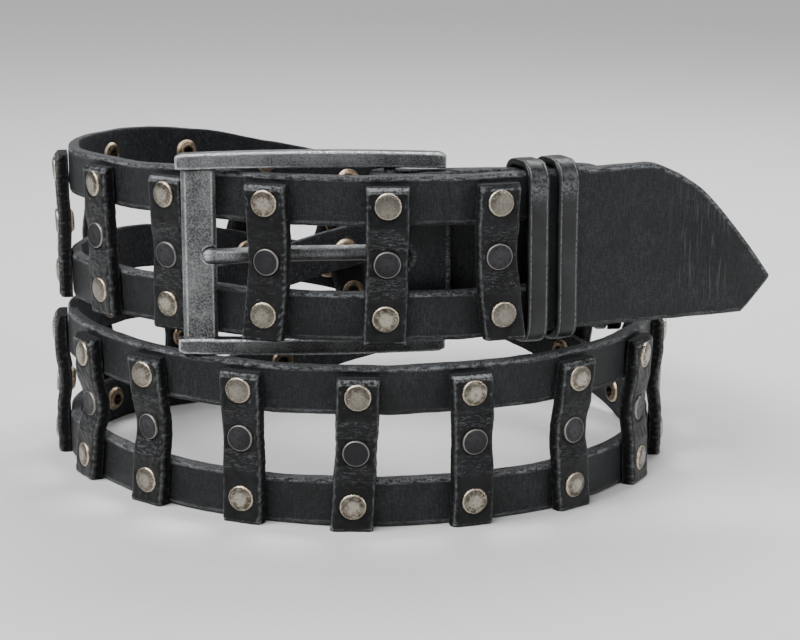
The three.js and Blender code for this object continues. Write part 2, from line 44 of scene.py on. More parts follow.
STRIP_WIDTH = 15.0
PITCH = 33.7
COIL_RADIUS = 98.0
TURN_GAP = 5.9
NEST_GAP = 1.6
CLEAR = 0.3
RUNG_WIDTH = 12.8
RUNG_THICKNESS = 4.3
RUNG_TOP_INSET = 2.6
SEAT_MARGIN = 0.6
RIVET_EDGE = 8.0
CAP_DIAMETER = 8.2
CAP_HEIGHT = 1.2
BACK_DIAMETER = 8.4
BACK_HEIGHT = 1.5
TIP_LENGTH = 96.5
TIP_SOLID = 82.0
TAB_SOLID = 74.0
FLAP_LENGTH = 18.0
SLOT_HEIGHT = 9.0
SLOT_REACH = 6.5
FOLD_PLACE = 0.873
PIVOT_DIAMETER = 3.6
FRAME_PLAY = 0.9
RAIL_HEIGHT = 4.6
RAIL_DEPTH = 5.0
RAIL_BOW = 0.8
RAIL_INNER_BOW = 0.4
RAIL_TAIL = 17.0
RAIL_NOSE = 6.8
OUTER_BAR_WIDTH = 10.4
OUTER_BAR_THICKNESS = 3.4
OUTER_BAR_BEVEL = 1.2
OUTER_BAR_PLACE = 2.62
PRONG_DIAMETER = 4.8
PRONG_WALL = 2.0
PRONG_EYE_HEIGHT = 5.3
PRONG_SEAT = 1.0
PRONG_SHORT = 1.0
KEEPER_WIDTH = 7.0
KEEPER_THICKNESS = 2.0
KEEPER_PLAY = 0.6
KEEPER_MARGIN = 3.0
KEEPER_PLACES = (12.2, 22.2)
TAB_RIVET_EDGE = 5.0
TAB_RIVET_HEAD = 6.0
TAB_RIVET_HEAD_HEIGHT = 1.0
COIL_CENTRE = (-14.25, 12.105)

HALF_WIDTH = STRAP_WIDTH / 2
HALF_LEATHER = LEATHER / 2
STACK = STRAP_WIDTH + TURN_GAP
NEST = LEATHER + RUNG_THICKNESS + CAP_HEIGHT + BACK_HEIGHT + 2 * CLEAR + NEST_GAP
SEAT_HALF = RUNG_WIDTH / 2 + SEAT_MARGIN
TAB_RIVET_PLACE = FLAP_LENGTH - TAB_RIVET_EDGE
TAB_SEAT_HALF = TAB_RIVET_HEAD / 2 + SEAT_MARGIN
PIVOT_RADIUS = PIVOT_DIAMETER / 2
FOLD_RADIUS = PIVOT_RADIUS + CLEAR + HALF_LEATHER
FOLD_ARC = math.pi * FOLD_RADIUS
PLY = LEATHER + 1.5 * CLEAR
FRAME_HEIGHT = STRAP_WIDTH + 2 * (FRAME_PLAY + RAIL_HEIGHT)
PRONG_SEAT_RADIUS = PRONG_DIAMETER / 2 + CLEAR
RIVET_RISE = HALF_WIDTH - RIVET_EDGE

# The coil from the strap's point nearly to its tab: turn in degrees, reach over COIL_RADIUS,
# nest in NEST, and lift over STACK
COIL = (
    (-70.2, 1.422, 0, 1.007), (-58.3, 1.185, 0, 1.007), (-44.4, 1.039, 0, 1.007), (-27.3, 0.969, 0, 1.006),
    (-6.2, 0.932, 0, 1.005), (15.9, 0.914, 0, 1.003), (37.5, 0.904, 0, 0.996), (58.9, 0.927, 0, 0.977),
    (79.7, 0.98, 0, 0.962), (101, 0.906, 0, 0.955), (112, 0.837, 0, 0.938), (123, 0.775, 0, 0.9),
    (136, 0.742, 0, 0.838), (149, 0.74, 0, 0.766), (173.7, 0.735, 0, 0.626), (198.8, 0.782, 0, 0.483),
    (221.3, 0.85, 0, 0.322), (241.2, 0.905, 0, 0.17), (259.7, 0.96, 0, 0.041), (269, 0.983, 0, 0),
    (280.6, 1.002, 0, 0), (300.3, 1.028, 0, 0), (319.7, 1.028, 0, 0), (339.4, 1.005, 0, 0),
    (359.4, 1.0, 0, 0), (379.6, 0.979, 0, 0), (399.8, 0.978, 0, 0), (420, 0.985, 0, 0),
    (439.8, 0.998, 0, 0), (461, 0.908, 0, 0), (474, 0.825, 0.3, 0), (486, 0.765, 0.6, 0.006),
    (497, 0.742, 0.88, 0.04), (509, 0.74, 1.1, 0.09), (533.7, 0.735, 1.19, 0.2), (558.8, 0.782, 1.14, 0.31),
    (581.3, 0.85, 1.13, 0.42), (601.2, 0.905, 1.13, 0.53), (620, 0.965, 1.13, 0.63),
    (640.6, 1.002, 1.12, 0.745), (655, 1.02, 1.05, 0.865), (665, 1.028, 0.85, 0.945),
)

# The coil's last rows: pitches before the fold, nest and lift
TAB_ROWS = (
    (1.78, 0.61, 1.001), (1.3, 0.535, 1.004), (0.9, 0.685, 1.003), (0.55, 0.895, 1.002), (0, 1.14, 1.002),
)
TWO_TURNS = 720

# The strap's pointed end: along over TIP_LENGTH, lower and upper outline over STRAP_WIDTH
TIP_OUTLINE = (
    (0, 0.205, 0.225), (0.106, 0, 0.478), (0.258, 0, 0.8),
    (0.326, 0, 0.887), (0.395, 0, 0.954), (0.456, 0, 1),
)


# Curves
def smooth(value, low, high):
    share = np.clip((value - low) / (high - low), 0, 1)
    return share * share * (3 - 2 * share)


def lerp(a, b, share):
    return a + (b - a) * share


def through(rows, steps):
    """A centripetal curve through rows, with steps spread evenly over its spans."""
    rows = np.asarray(rows, float)
    padded = np.vstack([2 * rows[0] - rows[1], rows, 2 * rows[-1] - rows[-2]])
    places = np.linspace(0, len(rows) - 1, steps + 1)
    span = np.minimum(places.astype(int), len(rows) - 2)
    share = (places - span)[:, None]
    p0, p1, p2, p3 = (padded[span + k] for k in range(4))
    pairs = ((p0, p1), (p1, p2), (p2, p3))
    d0, d1, d2 = (np.linalg.norm(b - a, axis=1, keepdims=True) ** 0.5 for a, b in pairs)
    t1 = ((p1 - p0) / d0 - (p2 - p0) / (d0 + d1) + (p2 - p1) / d1) * d1
    t2 = ((p2 - p1) / d1 - (p3 - p1) / (d1 + d2) + (p3 - p2) / d2) * d1
    square = 3 * (p2 - p1) - 2 * t1 - t2
    cube = 2 * (p1 - p2) + t1 + t2
    return p1 + share * (t1 + share * (square + share * cube))


def coil_line(coil):
    """The strap's middle line as (points, lengths along it)."""
    rows = [(turn, COIL_RADIUS * reach - NEST * nest, STACK * lift) for turn, reach, nest, lift in coil]
    turn, reach, lift = through(rows, 2400).T
    angle = np.radians(turn)
    points = np.stack([-reach * np.sin(angle), -reach * np.cos(angle), np.maximum(0, lift) + HALF_WIDTH], 1)
    lengths = np.concatenate([[0], np.cumsum(np.linalg.norm(np.diff(points, axis=0), axis=1))])
    return points, lengths


def point_on(s, line):
    """The points at lengths s along a line."""
    points, lengths = line
    return np.stack([np.interp(s, lengths, points[:, k]) for k in range(3)], -1)


def with_tab(coil):
    """The coil's rows with the tab's added, each behind the place on the first turn that it lies against."""
    first_turn = coil_line(coil)
    rows = list(coil)
    for before, nest, lift in TAB_ROWS:
        x, y, _ = point_on(TIP_LENGTH + (FOLD_PLACE - before) * PITCH, first_turn)
        turn = TWO_TURNS + math.degrees(math.atan2(-x, -y))
        rows.append((turn, math.hypot(x, y) / COIL_RADIUS, nest, lift))
    return rows


LINE = coil_line(with_tab(COIL))
TOTAL = LINE[1][-1]
RUNGS = int((TOTAL - TIP_LENGTH - TAB_SOLID) / PITCH) + 1
RUNG_PLACES = TIP_LENGTH + PITCH * np.arange(RUNGS)
FLAP_START = TOTAL + FOLD_ARC


def unit(vectors):
    return vectors / np.linalg.norm(vectors, axis=-1, keepdims=True)


def round_angles(count):
    """Angles spread evenly round one turn."""
    return np.linspace(0, 2 * math.pi, count, endpoint=False)


def axes_of(travel):
    """Directions along the strap, out of the coil and up across the width."""
    along = unit(travel)
    out = unit(np.stack([-along[..., 1], along[..., 0], np.zeros_like(along[..., 0])], -1))
    return along, out, np.cross(along, out)


def seat_at(s, half):
    """The flat under a rung: its middle and directions."""
    start = point_on(s - half, LINE)
    end = point_on(s + half, LINE)
    return (start + end) / 2, *axes_of(end - start)


SEATS = [seat_at(s, SEAT_HALF) for s in RUNG_PLACES]
SEAT_MIDDLES = np.array([seat[0] for seat in SEATS])
SEAT_ALONGS = np.array([seat[1] for seat in SEATS])


def strap_at(s):
    """The strap's middle and directions at each s, drawn flat where the rungs hold it."""
    s = np.atleast_1d(np.asarray(s, float))
    step = 1.5
    middle = point_on(s, LINE)
    travel = unit(point_on(np.minimum(s + step, TOTAL), LINE) - point_on(np.maximum(s - step, 0), LINE))
    near = np.clip(np.round((s - TIP_LENGTH) / PITCH).astype(int), 0, RUNGS - 1)
    offset = s - RUNG_PLACES[near]
    held = (1 - smooth(np.abs(offset), SEAT_HALF - 2, SEAT_HALF + 4))[:, None]
    middle = lerp(middle, SEAT_MIDDLES[near] + SEAT_ALONGS[near] * offset[:, None], held)
    return middle, *axes_of(lerp(travel, SEAT_ALONGS[near], held))


def on_coil(flat):
    """Places flat strap points, s along, y out of the leather's middle and h up, on the wound strap."""
    s, y, h = np.asarray(flat, float).T
    past_fold = np.maximum(s - FLAP_START, 0)
    middle, along, out, up = strap_at(np.minimum(s, TOTAL) - past_fold)
    angle = (np.clip((s - TOTAL) / FOLD_ARC, 0, 1) * math.pi)[:, None]
    side = out * np.cos(angle) - along * np.sin(angle)
    width = lerp(FOLD_RADIUS, PLY / 2, smooth(past_fold, 0, FLAP_LENGTH))[:, None]
    centre = middle + out * np.where(s > TOTAL, 1, 0)[:, None] * width
    ply = np.where((s > TOTAL)[:, None], centre - side * width, middle)
    return ply + side * y[:, None] + up * (h - HALF_WIDTH)[:, None]


def on_place(place, local):
    """Places local points (x along, y out, z up) at a seat or station."""
    middle, along, out, up = place
    x, y, z = np.asarray(local, float).T
    return middle + np.outer(x, along) + np.outer(y, out) + np.outer(z, up)


def sway(points, wavelength, seed, waves=10):
    """A smooth uneven value from about -1 to 1, the same on each run."""
    draw = np.random.RandomState(seed)
    directions = unit(draw.normal(size=(waves, 3))) * (2 * math.pi / wavelength)
    directions = directions * draw.uniform(0.6, 1.5, (waves, 1))
    phases = draw.uniform(0, 2 * math.pi, waves)
    return np.sin(np.asarray(points) @ directions.T + phases).sum(1) / math.sqrt(waves) * 0.9


# Meshes
def new_object(name, data):
    """An object in the scene's collection."""
    made = bpy.data.objects.new(name, data)
    bpy.context.scene.collection.objects.link(made)
    return made


def to_metres(points):
    shifted = np.asarray(points, float) + (*COIL_CENTRE, 0)
    return shifted / 1000


def mark(mesh, name, values):
    """Stores one number or one vector for each vertex."""
    kind, field = ("FLOAT_VECTOR", "vector") if np.ndim(values) == 2 else ("FLOAT", "value")
    attribute = mesh.attributes.new(name, kind, "POINT")
    attribute.data.foreach_set(field, np.asarray(values, np.float32).ravel())


def convexity(mesh, spread):
    """How far each vertex stands out, from 0 flat or hollow to about 1 sharp, passed on spread times."""
    count = len(mesh.vertices)
    points = np.zeros(count * 3, np.float32)
    mesh.vertices.foreach_get("co", points)
    points = points.reshape(-1, 3)
    normals = np.zeros(count * 3, np.float32)
    mesh.vertex_normals.foreach_get("vector", normals)
    normals = normals.reshape(-1, 3)
    ends = np.zeros(len(mesh.edges) * 2, np.int32)
    mesh.edges.foreach_get("vertices", ends)
    a, b = ends.reshape(-1, 2).T
    way = points[b] - points[a]
    way /= np.maximum(np.linalg.norm(way, axis=1, keepdims=True), 1e-9)
    total = np.zeros(count)
    np.add.at(total, a, -(normals[a] * way).sum(1))
    np.add.at(total, b, (normals[b] * way).sum(1))
    degree = np.maximum(np.bincount(ends, minlength=count), 1)
    found = np.clip(total / degree * 2.5, 0, 1)
    for _ in range(spread):
        around = np.zeros(count)
        np.add.at(around, a, found[b])
        np.add.at(around, b, found[a])
        found = np.maximum(found, around / degree)
    return found


def piece(
    name, points, faces, finishes, flat=None, edge=None, marks=None, sharp=50, spread=0, face_finish=None
):
    """A mesh object in the row frame. flat holds each vertex's place in the piece's own millimetres."""
    mesh = bpy.data.meshes.new(name)
    mesh.from_pydata(to_metres(points).tolist(), [], faces)
    mesh.update()
    for finish in finishes:
        mesh.materials.append(finish)
    if face_finish is not None:
        mesh.polygons.foreach_set("material_index", np.asarray(face_finish, np.int32))
    mesh.shade_smooth()
    mesh.set_sharp_from_angle(angle=math.radians(sharp))
    mark(mesh, "flat", points if flat is None else flat)
    mark(mesh, "worn", convexity(mesh, spread))
    for extra, values in (marks or {}).items():
        mark(mesh, extra, values)
    mark(mesh, "edge", np.full(len(points), 9.0) if edge is None else edge)
    made = new_object(name, mesh)
    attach(made, "root")
    return made


def loft(rings, closed=False):
    """Points and faces of a skin over rings of equal count. Open ends are closed by a flat face."""
    rings = np.asarray(rings, float)
    count, sides = rings.shape[:2]
    faces = []
    for i in range(count if closed else count - 1):
        a = i * sides
        b = ((i + 1) % count) * sides
        faces += [(a + j, a + (j + 1) % sides, b + (j + 1) % sides, b + j) for j in range(sides)]
    if not closed:
        faces.append(tuple(range(sides))[::-1])
        faces.append(tuple((count - 1) * sides + j for j in range(sides)))
    return rings.reshape(-1, 3), faces


def turned(profile, sides):
    """A turned piece round the local y axis. profile runs from its middle outward: (radius, y) rows."""
    angle = round_angles(sides)
    return loft([np.stack([r * np.cos(angle), np.full(sides, y), r * np.sin(angle)], 1) for r, y in profile])


def gather(parts):
    """Joins several (points, faces) into one."""
    points, faces, start = [], [], 0
    for part_points, part_faces in parts:
        points.append(part_points)
        faces += [tuple(start + i for i in face) for face in part_faces]
        start += len(part_points)
    return np.vstack(points), faces


# Materials
class Finish:
    """A material made of procedural nodes round one Principled shader."""

    def __init__(self, name, **shader_values):
        self.material = bpy.data.materials.new(name)
        self.material.use_nodes = True
        self.tree = self.material.node_tree
        self.shader = self.tree.nodes["Principled BSDF"]
        for socket, value in shader_values.items():
            self.shader.inputs[socket.replace("_", " ")].default_value = value

    def node(self, kind, sockets=None, **settings):
        """A node with its settings, and a value or a link in each of the sockets given."""
        made = self.tree.nodes.new(kind)
        for key, value in settings.items():
            setattr(made, key, value)
        for socket, value in (sockets or {}).items():
            self.feed(made.inputs[socket], value)
        return made

    def feed(self, socket, value):
        if isinstance(value, bpy.types.NodeSocket):
            self.tree.links.new(value, socket)
        else:
            socket.default_value = value

    def mark(self, name, output="Fac"):
        """What the mesh stores under a name."""
        return self.node("ShaderNodeAttribute", attribute_name=name).outputs[output]

    def noise(self, scale, detail=3.0, rough=0.55, twist=0.0):
        """Noise with scale wrinkles for each millimetre: one number, or three for the three directions."""
        scales = scale if isinstance(scale, tuple) else (scale,) * 3
        flat = self.mark("flat", "Vector")
        place = self.node("ShaderNodeVectorMath", {0: flat, 1: scales}, operation="MULTIPLY").outputs[0]
        sockets = {"Vector": place, "Scale": 1.0, "Detail": detail, "Roughness": rough, "Distortion": twist}
        return self.node("ShaderNodeTexNoise", sockets).outputs["Fac"]

    def span(self, value, low, high, to_low=0.0, to_high=1.0):
        """Turns the range low to high of value smoothly into to_low to to_high."""
        sockets = {"Value": value, "From Min": low, "From Max": high, "To Min": to_low, "To Max": to_high}
        return self.node("ShaderNodeMapRange", sockets, interpolation_type="SMOOTHSTEP").outputs["Result"]

    def math(self, operation, a, b):
        return self.node("ShaderNodeMath", {0: a, 1: b}, operation=operation).outputs[0]

    def times(self, a, b):
        return self.math("MULTIPLY", a, b)

    def plus(self, a, b):
        return self.math("ADD", a, b)

    def blend(self, a, b, share):
        """Colour a where share is 0, and colour b where it is 1."""
        a, b = (color if isinstance(color, bpy.types.NodeSocket) else (*color, 1) for color in (a, b))
        return self.node("ShaderNodeMix", {"Factor": share, 6: a, 7: b}, data_type="RGBA").outputs[2]

    def painted_light_from_above(self, low, high, start=-0.45, end=0.45):
        """Painted light and shade: runs from low on surfaces that look down to high on those that look up."""
        normal = self.node("ShaderNodeNewGeometry").outputs["Normal"]
        height = self.node("ShaderNodeSeparateXYZ", {0: normal}).outputs["Z"]
        return self.span(height, start, end, low, high)

    def bump(self, height, millimetres):
        sockets = {"Strength": 1.0, "Distance": millimetres / 1000, "Height": height}
        return self.node("ShaderNodeBump", sockets).outputs["Normal"]

    def done(self, color, roughness, normal):
        for socket, value in (("Base Color", color), ("Roughness", roughness), ("Normal", normal)):
            self.feed(self.shader.inputs[socket], value)
        return self.material


def strap_finish():
    """Black strap leather: fine upright scratches, soft mottling and painted glints, rough light wear along
    its cut edges, and a painted highlight that lightens the edges facing up.
    """
    f = Finish("strap_leather", Specular_IOR_Level=0.30)
    streaks = f.noise((3.2, 3.2, 0.5), detail=5, rough=0.7)
    threads = f.noise((0.6, 2.4, 2.8), detail=4, rough=0.65)
    grain = f.noise((2.4, 2.4, 2.0), detail=4, rough=0.75)
    patches = f.noise(0.07, detail=4, rough=0.6)
    ragged = f.noise((1.7, 1.5, 1.7), detail=6, rough=0.8)
    lines = f.noise((0.40, 1.3, 1.5), detail=4, rough=0.65)
    folds = f.noise((1.3, 1.3, 0.08), detail=2, rough=0.5, twist=0.4)
    edge = f.mark("edge")
    creased = f.mark("crease_and_bend_highlight")
    woven = f.plus(f.times(streaks, 0.6), f.times(threads, 0.4))
    shade = f.times(f.span(woven, 0.42, 0.62), f.span(patches, 0.32, 0.68, 0.35, 1.0))
    color = f.blend((0.0036, 0.0040, 0.0046), (0.028, 0.031, 0.035), shade)
    # Painted glints: light specks on the grain's peaks along the streaks.
    painted_glints = f.times(f.span(grain, 0.56, 0.72), f.span(streaks, 0.42, 0.60))
    color = f.blend(color, (0.075, 0.081, 0.089), painted_glints)
    color = f.blend(color, (0.050, 0.054, 0.059), f.times(f.span(folds, 0.57, 0.66), creased))
    near = f.times(f.span(edge, 1.0, 1.9, 1.0, 0.0), f.span(edge, 0.25, 0.8, 0.3, 1.0))
    # Painted highlight: the edge wear is lightened on faces that look up and dimmed on faces that look down.
    near = f.times(near, f.painted_light_from_above(0.30, 1.0))
    wear = f.times(near, f.span(f.plus(ragged, lines), 0.88, 1.12))
    wear = f.times(wear, f.span(patches, 0.30, 0.6, 0.35, 1.0))
    color = f.blend(color, (0.25, 0.265, 0.28), wear)
    cut = f.times(f.span(edge, 0.3, 0.8, 1.0, 0.0), f.span(ragged, 0.47, 0.62))
    # Painted highlight: the raw cut edge is lighter where it faces up.
    cut = f.times(cut, f.painted_light_from_above(0.35, 1.0))
    color = f.blend(color, (0.17, 0.175, 0.18), cut)
    roughness = f.span(f.plus(grain, f.times(wear, 0.3)), 0.3, 1.0, 0.36, 0.64)
    height = f.plus(f.times(grain, 0.9), f.times(woven, 1.0))
    height = f.plus(height, f.times(f.times(folds, creased), 3.0))
    rough_edge = f.times(f.plus(f.times(ragged, 1.4), lines), f.span(edge, 0.9, 2.0, 1.8, 0.0))
    return f.done(color, roughness, f.bump(f.plus(height, rough_edge), 0.26))


def suede_finish():
    """The flesh side of the leather: dark, matt and fibrous."""
    f = Finish("suede", Sheen_Weight=0.25, Sheen_Roughness=0.5, Specular_IOR_Level=0.12)
    f.shader.inputs["Sheen Tint"].default_value = (0.4, 0.42, 0.46, 1)
    nap = f.noise(1.3, detail=6, rough=0.8, twist=0.9)
    fluff = f.noise(0.7, detail=6, rough=0.75, twist=1.2)
    patches = f.noise(0.16, detail=4, rough=0.65)
    color = f.blend((0.0035, 0.0037, 0.0042), (0.050, 0.051, 0.054), f.span(nap, 0.42, 0.68))
    color = f.blend(color, (0.007, 0.007, 0.008), f.span(patches, 0.35, 0.62, 0.0, 0.6))
    color = f.blend(color, (0.12, 0.12, 0.125), f.times(f.span(fluff, 0.54, 0.64), f.span(nap, 0.5, 0.6)))
    return f.done(color, 0.95, f.bump(f.plus(nap, f.times(fluff, 1.2)), 0.9))


def rung_finish():
    """Black bar leather: smooth and creased in front, light along its arrises, raw at its sides."""
    f = Finish("rung_leather", Specular_IOR_Level=0.22)
    pores = f.noise(2.4, detail=4, rough=0.75)
    wrinkles = f.noise((0.42, 1.6, 1.8), detail=3, rough=0.6, twist=0.9)
    patches = f.noise(0.11, detail=4, rough=0.6)
    fibres = f.noise((1.4, 1.4, 1.0), detail=6, rough=0.8, twist=0.8)
    scuffs = f.noise(1.3, detail=5, rough=0.75)
    raw = f.span(f.mark("edge"), 0.3, 0.8, 1.0, 0.0)
    creased = f.mark("crease_and_bend_highlight")
    color = f.blend((0.0016, 0.0018, 0.0021), (0.0085, 0.0092, 0.0105), f.span(patches, 0.35, 0.7))
    color = f.blend(color, (0.045, 0.048, 0.053), f.span(pores, 0.62, 0.76))
    crest = f.times(f.span(wrinkles, 0.50, 0.60), creased)
    color = f.blend(color, (0.12, 0.125, 0.135), f.times(crest, f.span(pores, 0.40, 0.62)))
    flesh = f.blend((0.0015, 0.0015, 0.0015), (0.026, 0.025, 0.024), f.span(fibres, 0.5, 0.75))
    color = f.blend(color, flesh, raw)
    wear = f.times(f.span(f.mark("worn"), 0.14, 0.44), f.span(scuffs, 0.34, 0.60))
    wear = f.times(wear, f.span(raw, 0.3, 0.9, 0.62, 0.15))
    filled = f.plus(f.plus(scuffs, f.times(wrinkles, 0.5)), f.times(f.mark("tip"), 0.3))
    top = f.times(f.mark("tip"), f.span(filled, 0.84, 1.08))
    color = f.blend(color, (0.24, 0.25, 0.26), f.math("MAXIMUM", wear, top))
    roughness = f.span(f.plus(f.times(raw, 0.5), f.times(pores, 0.5)), 0.15, 0.8, 0.30, 0.85)
    height = f.plus(f.times(pores, 0.5), f.times(f.times(wrinkles, creased), 4.5))
    height = f.plus(height, f.times(f.times(fibres, raw), 1.5))
    height = f.plus(height, f.times(f.times(scuffs, f.mark("tip")), 1.6))
    return f.done(color, roughness, f.bump(height, 0.26))


def keeper_finish():
    """Keeper leather: smoother, with light burnished arrises and a painted highlight on its upper bend."""
    f = Finish("keeper_leather", Specular_IOR_Level=0.45)
    pores = f.noise(2.6, detail=4, rough=0.7)
    across = f.noise((3.2, 0.5, 0.5), detail=4, rough=0.6)
    patches = f.noise(0.13, detail=4)
    color = f.blend((0.0022, 0.0024, 0.0028), (0.012, 0.013, 0.0145), f.span(patches, 0.35, 0.7))
    color = f.blend(color, (0.05, 0.052, 0.056), f.span(pores, 0.64, 0.76))
    scuffs = f.noise(1.1, detail=4, rough=0.65)
    wear = f.times(f.span(f.mark("worn"), 0.08, 0.26), f.span(scuffs, 0.34, 0.56))
    color = f.blend(color, (0.17, 0.19, 0.195), wear)
    # Painted highlight on the upper bend, broken up by the pores and scuffs.
    painted_bend_light = f.times(f.mark("crease_and_bend_highlight"), f.span(f.plus(pores, scuffs), 0.86, 1.12))
    color = f.blend(color, (0.15, 0.157, 0.165), painted_bend_light)
    roughness = f.span(pores, 0.3, 0.7, 0.27, 0.46)
    height = f.plus(f.times(pores, 0.6), f.times(across, 0.4))
    return f.done(color, roughness, f.bump(height, 0.18))


def cap_finish(name, middle, ring, rim_highlight, roughness, bright=0.9):
    """A rivet cap tinted from its middle out, with a painted highlight round its rim. edge holds the distance
    as a share of its radius.
    """
    f = Finish(name, Metallic=1.0)
    out = f.mark("edge")
    grime = f.noise(0.9, detail=6, rough=0.75)
    tarnish = f.noise(0.06, detail=1)
    specks = f.noise(3.6, detail=4, rough=0.7)
    color = f.blend(middle, ring, f.times(f.span(out, 0.36, 0.66), f.span(grime, 0.32, 0.56)))
    color = f.blend(color, tuple(c * 0.55 for c in ring), f.times(f.span(grime, 0.5, 0.68), 0.8))
    color = f.blend(color, tuple(c * 0.5 for c in middle), f.span(tarnish, 0.40, 0.62, 0.0, 0.8))
    # Painted highlight: a bright band round the cap's outer rim.
    color = f.blend(color, rim_highlight, f.span(out, bright - 0.07, bright))
    color = f.blend(color, tuple(c * 0.25 for c in ring), f.times(f.span(specks, 0.6, 0.7), 0.8))
    rough = f.span(grime, 0.3, 0.7, roughness - 0.05, roughness + 0.16)
    height = f.plus(f.times(specks, 0.6), f.times(grime, 1.5))
    return f.done(color, rough, f.bump(height, 0.09))


def buckle_finish():
    """Aged grey metal: speckled and dark on its flats, bright along its arrises, with painted shade on the
    faces that look down.
    """
    f = Finish("buckle_metal", Metallic=1.0)
    specks = f.noise(2.0, detail=6, rough=0.85)
    pits = f.noise(0.9, detail=6, rough=0.8)
    patches = f.noise(0.09, detail=4, rough=0.65)
    shade = f.plus(f.times(f.span(specks, 0.43, 0.57), 0.6), f.times(f.span(patches, 0.35, 0.65), 0.4))
    color = f.blend((0.030, 0.031, 0.034), (0.30, 0.305, 0.31), shade)
    color = f.blend(color, (0.11, 0.08, 0.058), f.times(f.span(pits, 0.55, 0.66), 0.5))
    color = f.blend(color, (0.55, 0.56, 0.57), f.times(f.span(specks, 0.58, 0.68), 0.8))
    polish = f.times(f.span(f.mark("worn"), 0.05, 0.24), f.span(pits, 0.34, 0.56))
    color = f.blend(color, (0.74, 0.76, 0.78), polish)
    # Painted shade: faces that look down are darkened.
    color = f.blend(color, (0.012, 0.012, 0.014), f.painted_light_from_above(0.85, 0.0, -0.75, 0.05))
    roughness = f.span(f.math("SUBTRACT", specks, f.times(polish, 0.3)), 0.2, 0.7, 0.24, 0.44)
    height = f.plus(f.times(specks, 1.2), f.times(pits, 1.4))
    return f.done(color, roughness, f.bump(height, 0.16))


STRAP_LEATHER = strap_finish()
SUEDE = suede_finish()
BAR_LEATHER = rung_finish()
BAND_LEATHER = keeper_finish()
NICKEL = cap_finish(
    "nickel_cap", middle=(0.40, 0.37, 0.315), ring=(0.115, 0.095, 0.070), rim_highlight=(0.62, 0.53, 0.42),
    roughness=0.22, bright=0.93,
)
GUNMETAL = cap_finish(
    "dark_cap", middle=(0.062, 0.062, 0.067), ring=(0.046, 0.046, 0.051), rim_highlight=(0.34, 0.32, 0.30),
    roughness=0.34, bright=0.95,
)
# The backs' nearly black middle is painted shade standing for the depth of their hollow centre.
WARM_NICKEL = cap_finish(
    "rivet_back", middle=(0.010, 0.009, 0.008), ring=(0.36, 0.27, 0.18), rim_highlight=(0.62, 0.49, 0.35),
    roughness=0.28,
)
BUCKLE_METAL = buckle_finish()

# The strap. Its cut edges are rounded over ROLL and fall by DROP, in front and at the back
EDGE_ROLL = 1.7
EDGE_DROP = 1.15
BACK_ROLL = 0.9
BACK_DROP = 0.6
EDGE_STEPS = (0, 0.12, 0.42, 0.95, EDGE_ROLL)
GAP_END = TOTAL - TAB_SOLID + SEAT_HALF
SLOT_START = TOTAL - SLOT_REACH
SLOT_END = FLAP_START + SLOT_REACH
STRAP_END = FLAP_START + FLAP_LENGTH

# Where the pointed end's creases fade in and out along the strap, and away from its middle height
CREASES_START = (14, 20)
CREASES_END = (40, 30)
CREASES_REACH = (24, 12)

# How far the strap bends out of true, in millimetres: slow and quick waves outward, then in height
WAVE_OUT, RIPPLE_OUT = 0.16, 0.06
WAVE_UP, RIPPLE_UP = 0.22, 0.07


def strap_rows():
    """Heights of the grid's rows over a whole width, closer together near each edge."""
    slot_low = HALF_WIDTH - SLOT_HEIGHT / 2
    lower = [*EDGE_STEPS, 3.4, 5.6, 7.5, 9.4, 11.6, *(STRIP_WIDTH - e for e in EDGE_STEPS[::-1])]
    lower += [16.4, 17.8, *(slot_low - e for e in EDGE_STEPS[::-1]), 23.0]
    return np.array([*lower, HALF_WIDTH, *(STRAP_WIDTH - h for h in lower[::-1])])


def strap_steps():
    """Places of the grid's stations, closer together near each cut."""
    near = np.array(EDGE_STEPS)
    cuts = [near, TIP_SOLID - near, GAP_END + near, SLOT_START - near, SLOT_END + near, STRAP_END - near]
    slot_round = SLOT_HEIGHT / 2
    stretches = (
        (EDGE_ROLL, TIP_SOLID - EDGE_ROLL, 2.2),
        (TIP_SOLID, GAP_END, 2.4),
        (GAP_END + EDGE_ROLL, SLOT_START - EDGE_ROLL, 2.4),
        (SLOT_START, SLOT_START + slot_round, 0.5),
        (SLOT_START + slot_round, TOTAL, 0.9),
        (TOTAL, FLAP_START, 0.65),
        (FLAP_START, SLOT_END - slot_round, 0.9),
        (SLOT_END - slot_round, SLOT_END, 0.5),
        (SLOT_END + EDGE_ROLL, STRAP_END - EDGE_ROLL, 1.6),
    )
    for start, end, step in stretches:
        cuts.append(np.linspace(start, end, max(2, int(round((end - start) / step)) + 1)))
    return np.unique(np.round(np.concatenate(cuts), 4))


def tip_edges(s):
    """The pointed end's lower and upper outline at each s."""
    along, low, high = np.array(TIP_OUTLINE).T
    curve = through(np.stack([along * TIP_LENGTH, high * STRAP_WIDTH], 1), 80)
    return np.interp(s, along * TIP_LENGTH, low * STRAP_WIDTH), np.interp(s, curve[:, 0], curve[:, 1])


def slot_half(s):
    """Half the slot's height at each s, which widens again past its rounded ends to spread the rows."""
    radius = SLOT_HEIGHT / 2
    past = np.maximum(SLOT_START + radius - s, s - (SLOT_END - radius))
    inside = radius * np.sqrt(np.clip(1 - (np.maximum(past, 0) / radius) ** 2, 0.004, 1))
    return np.where(past > radius, np.minimum(radius, 0.3 + (past - radius) * 0.7), inside)


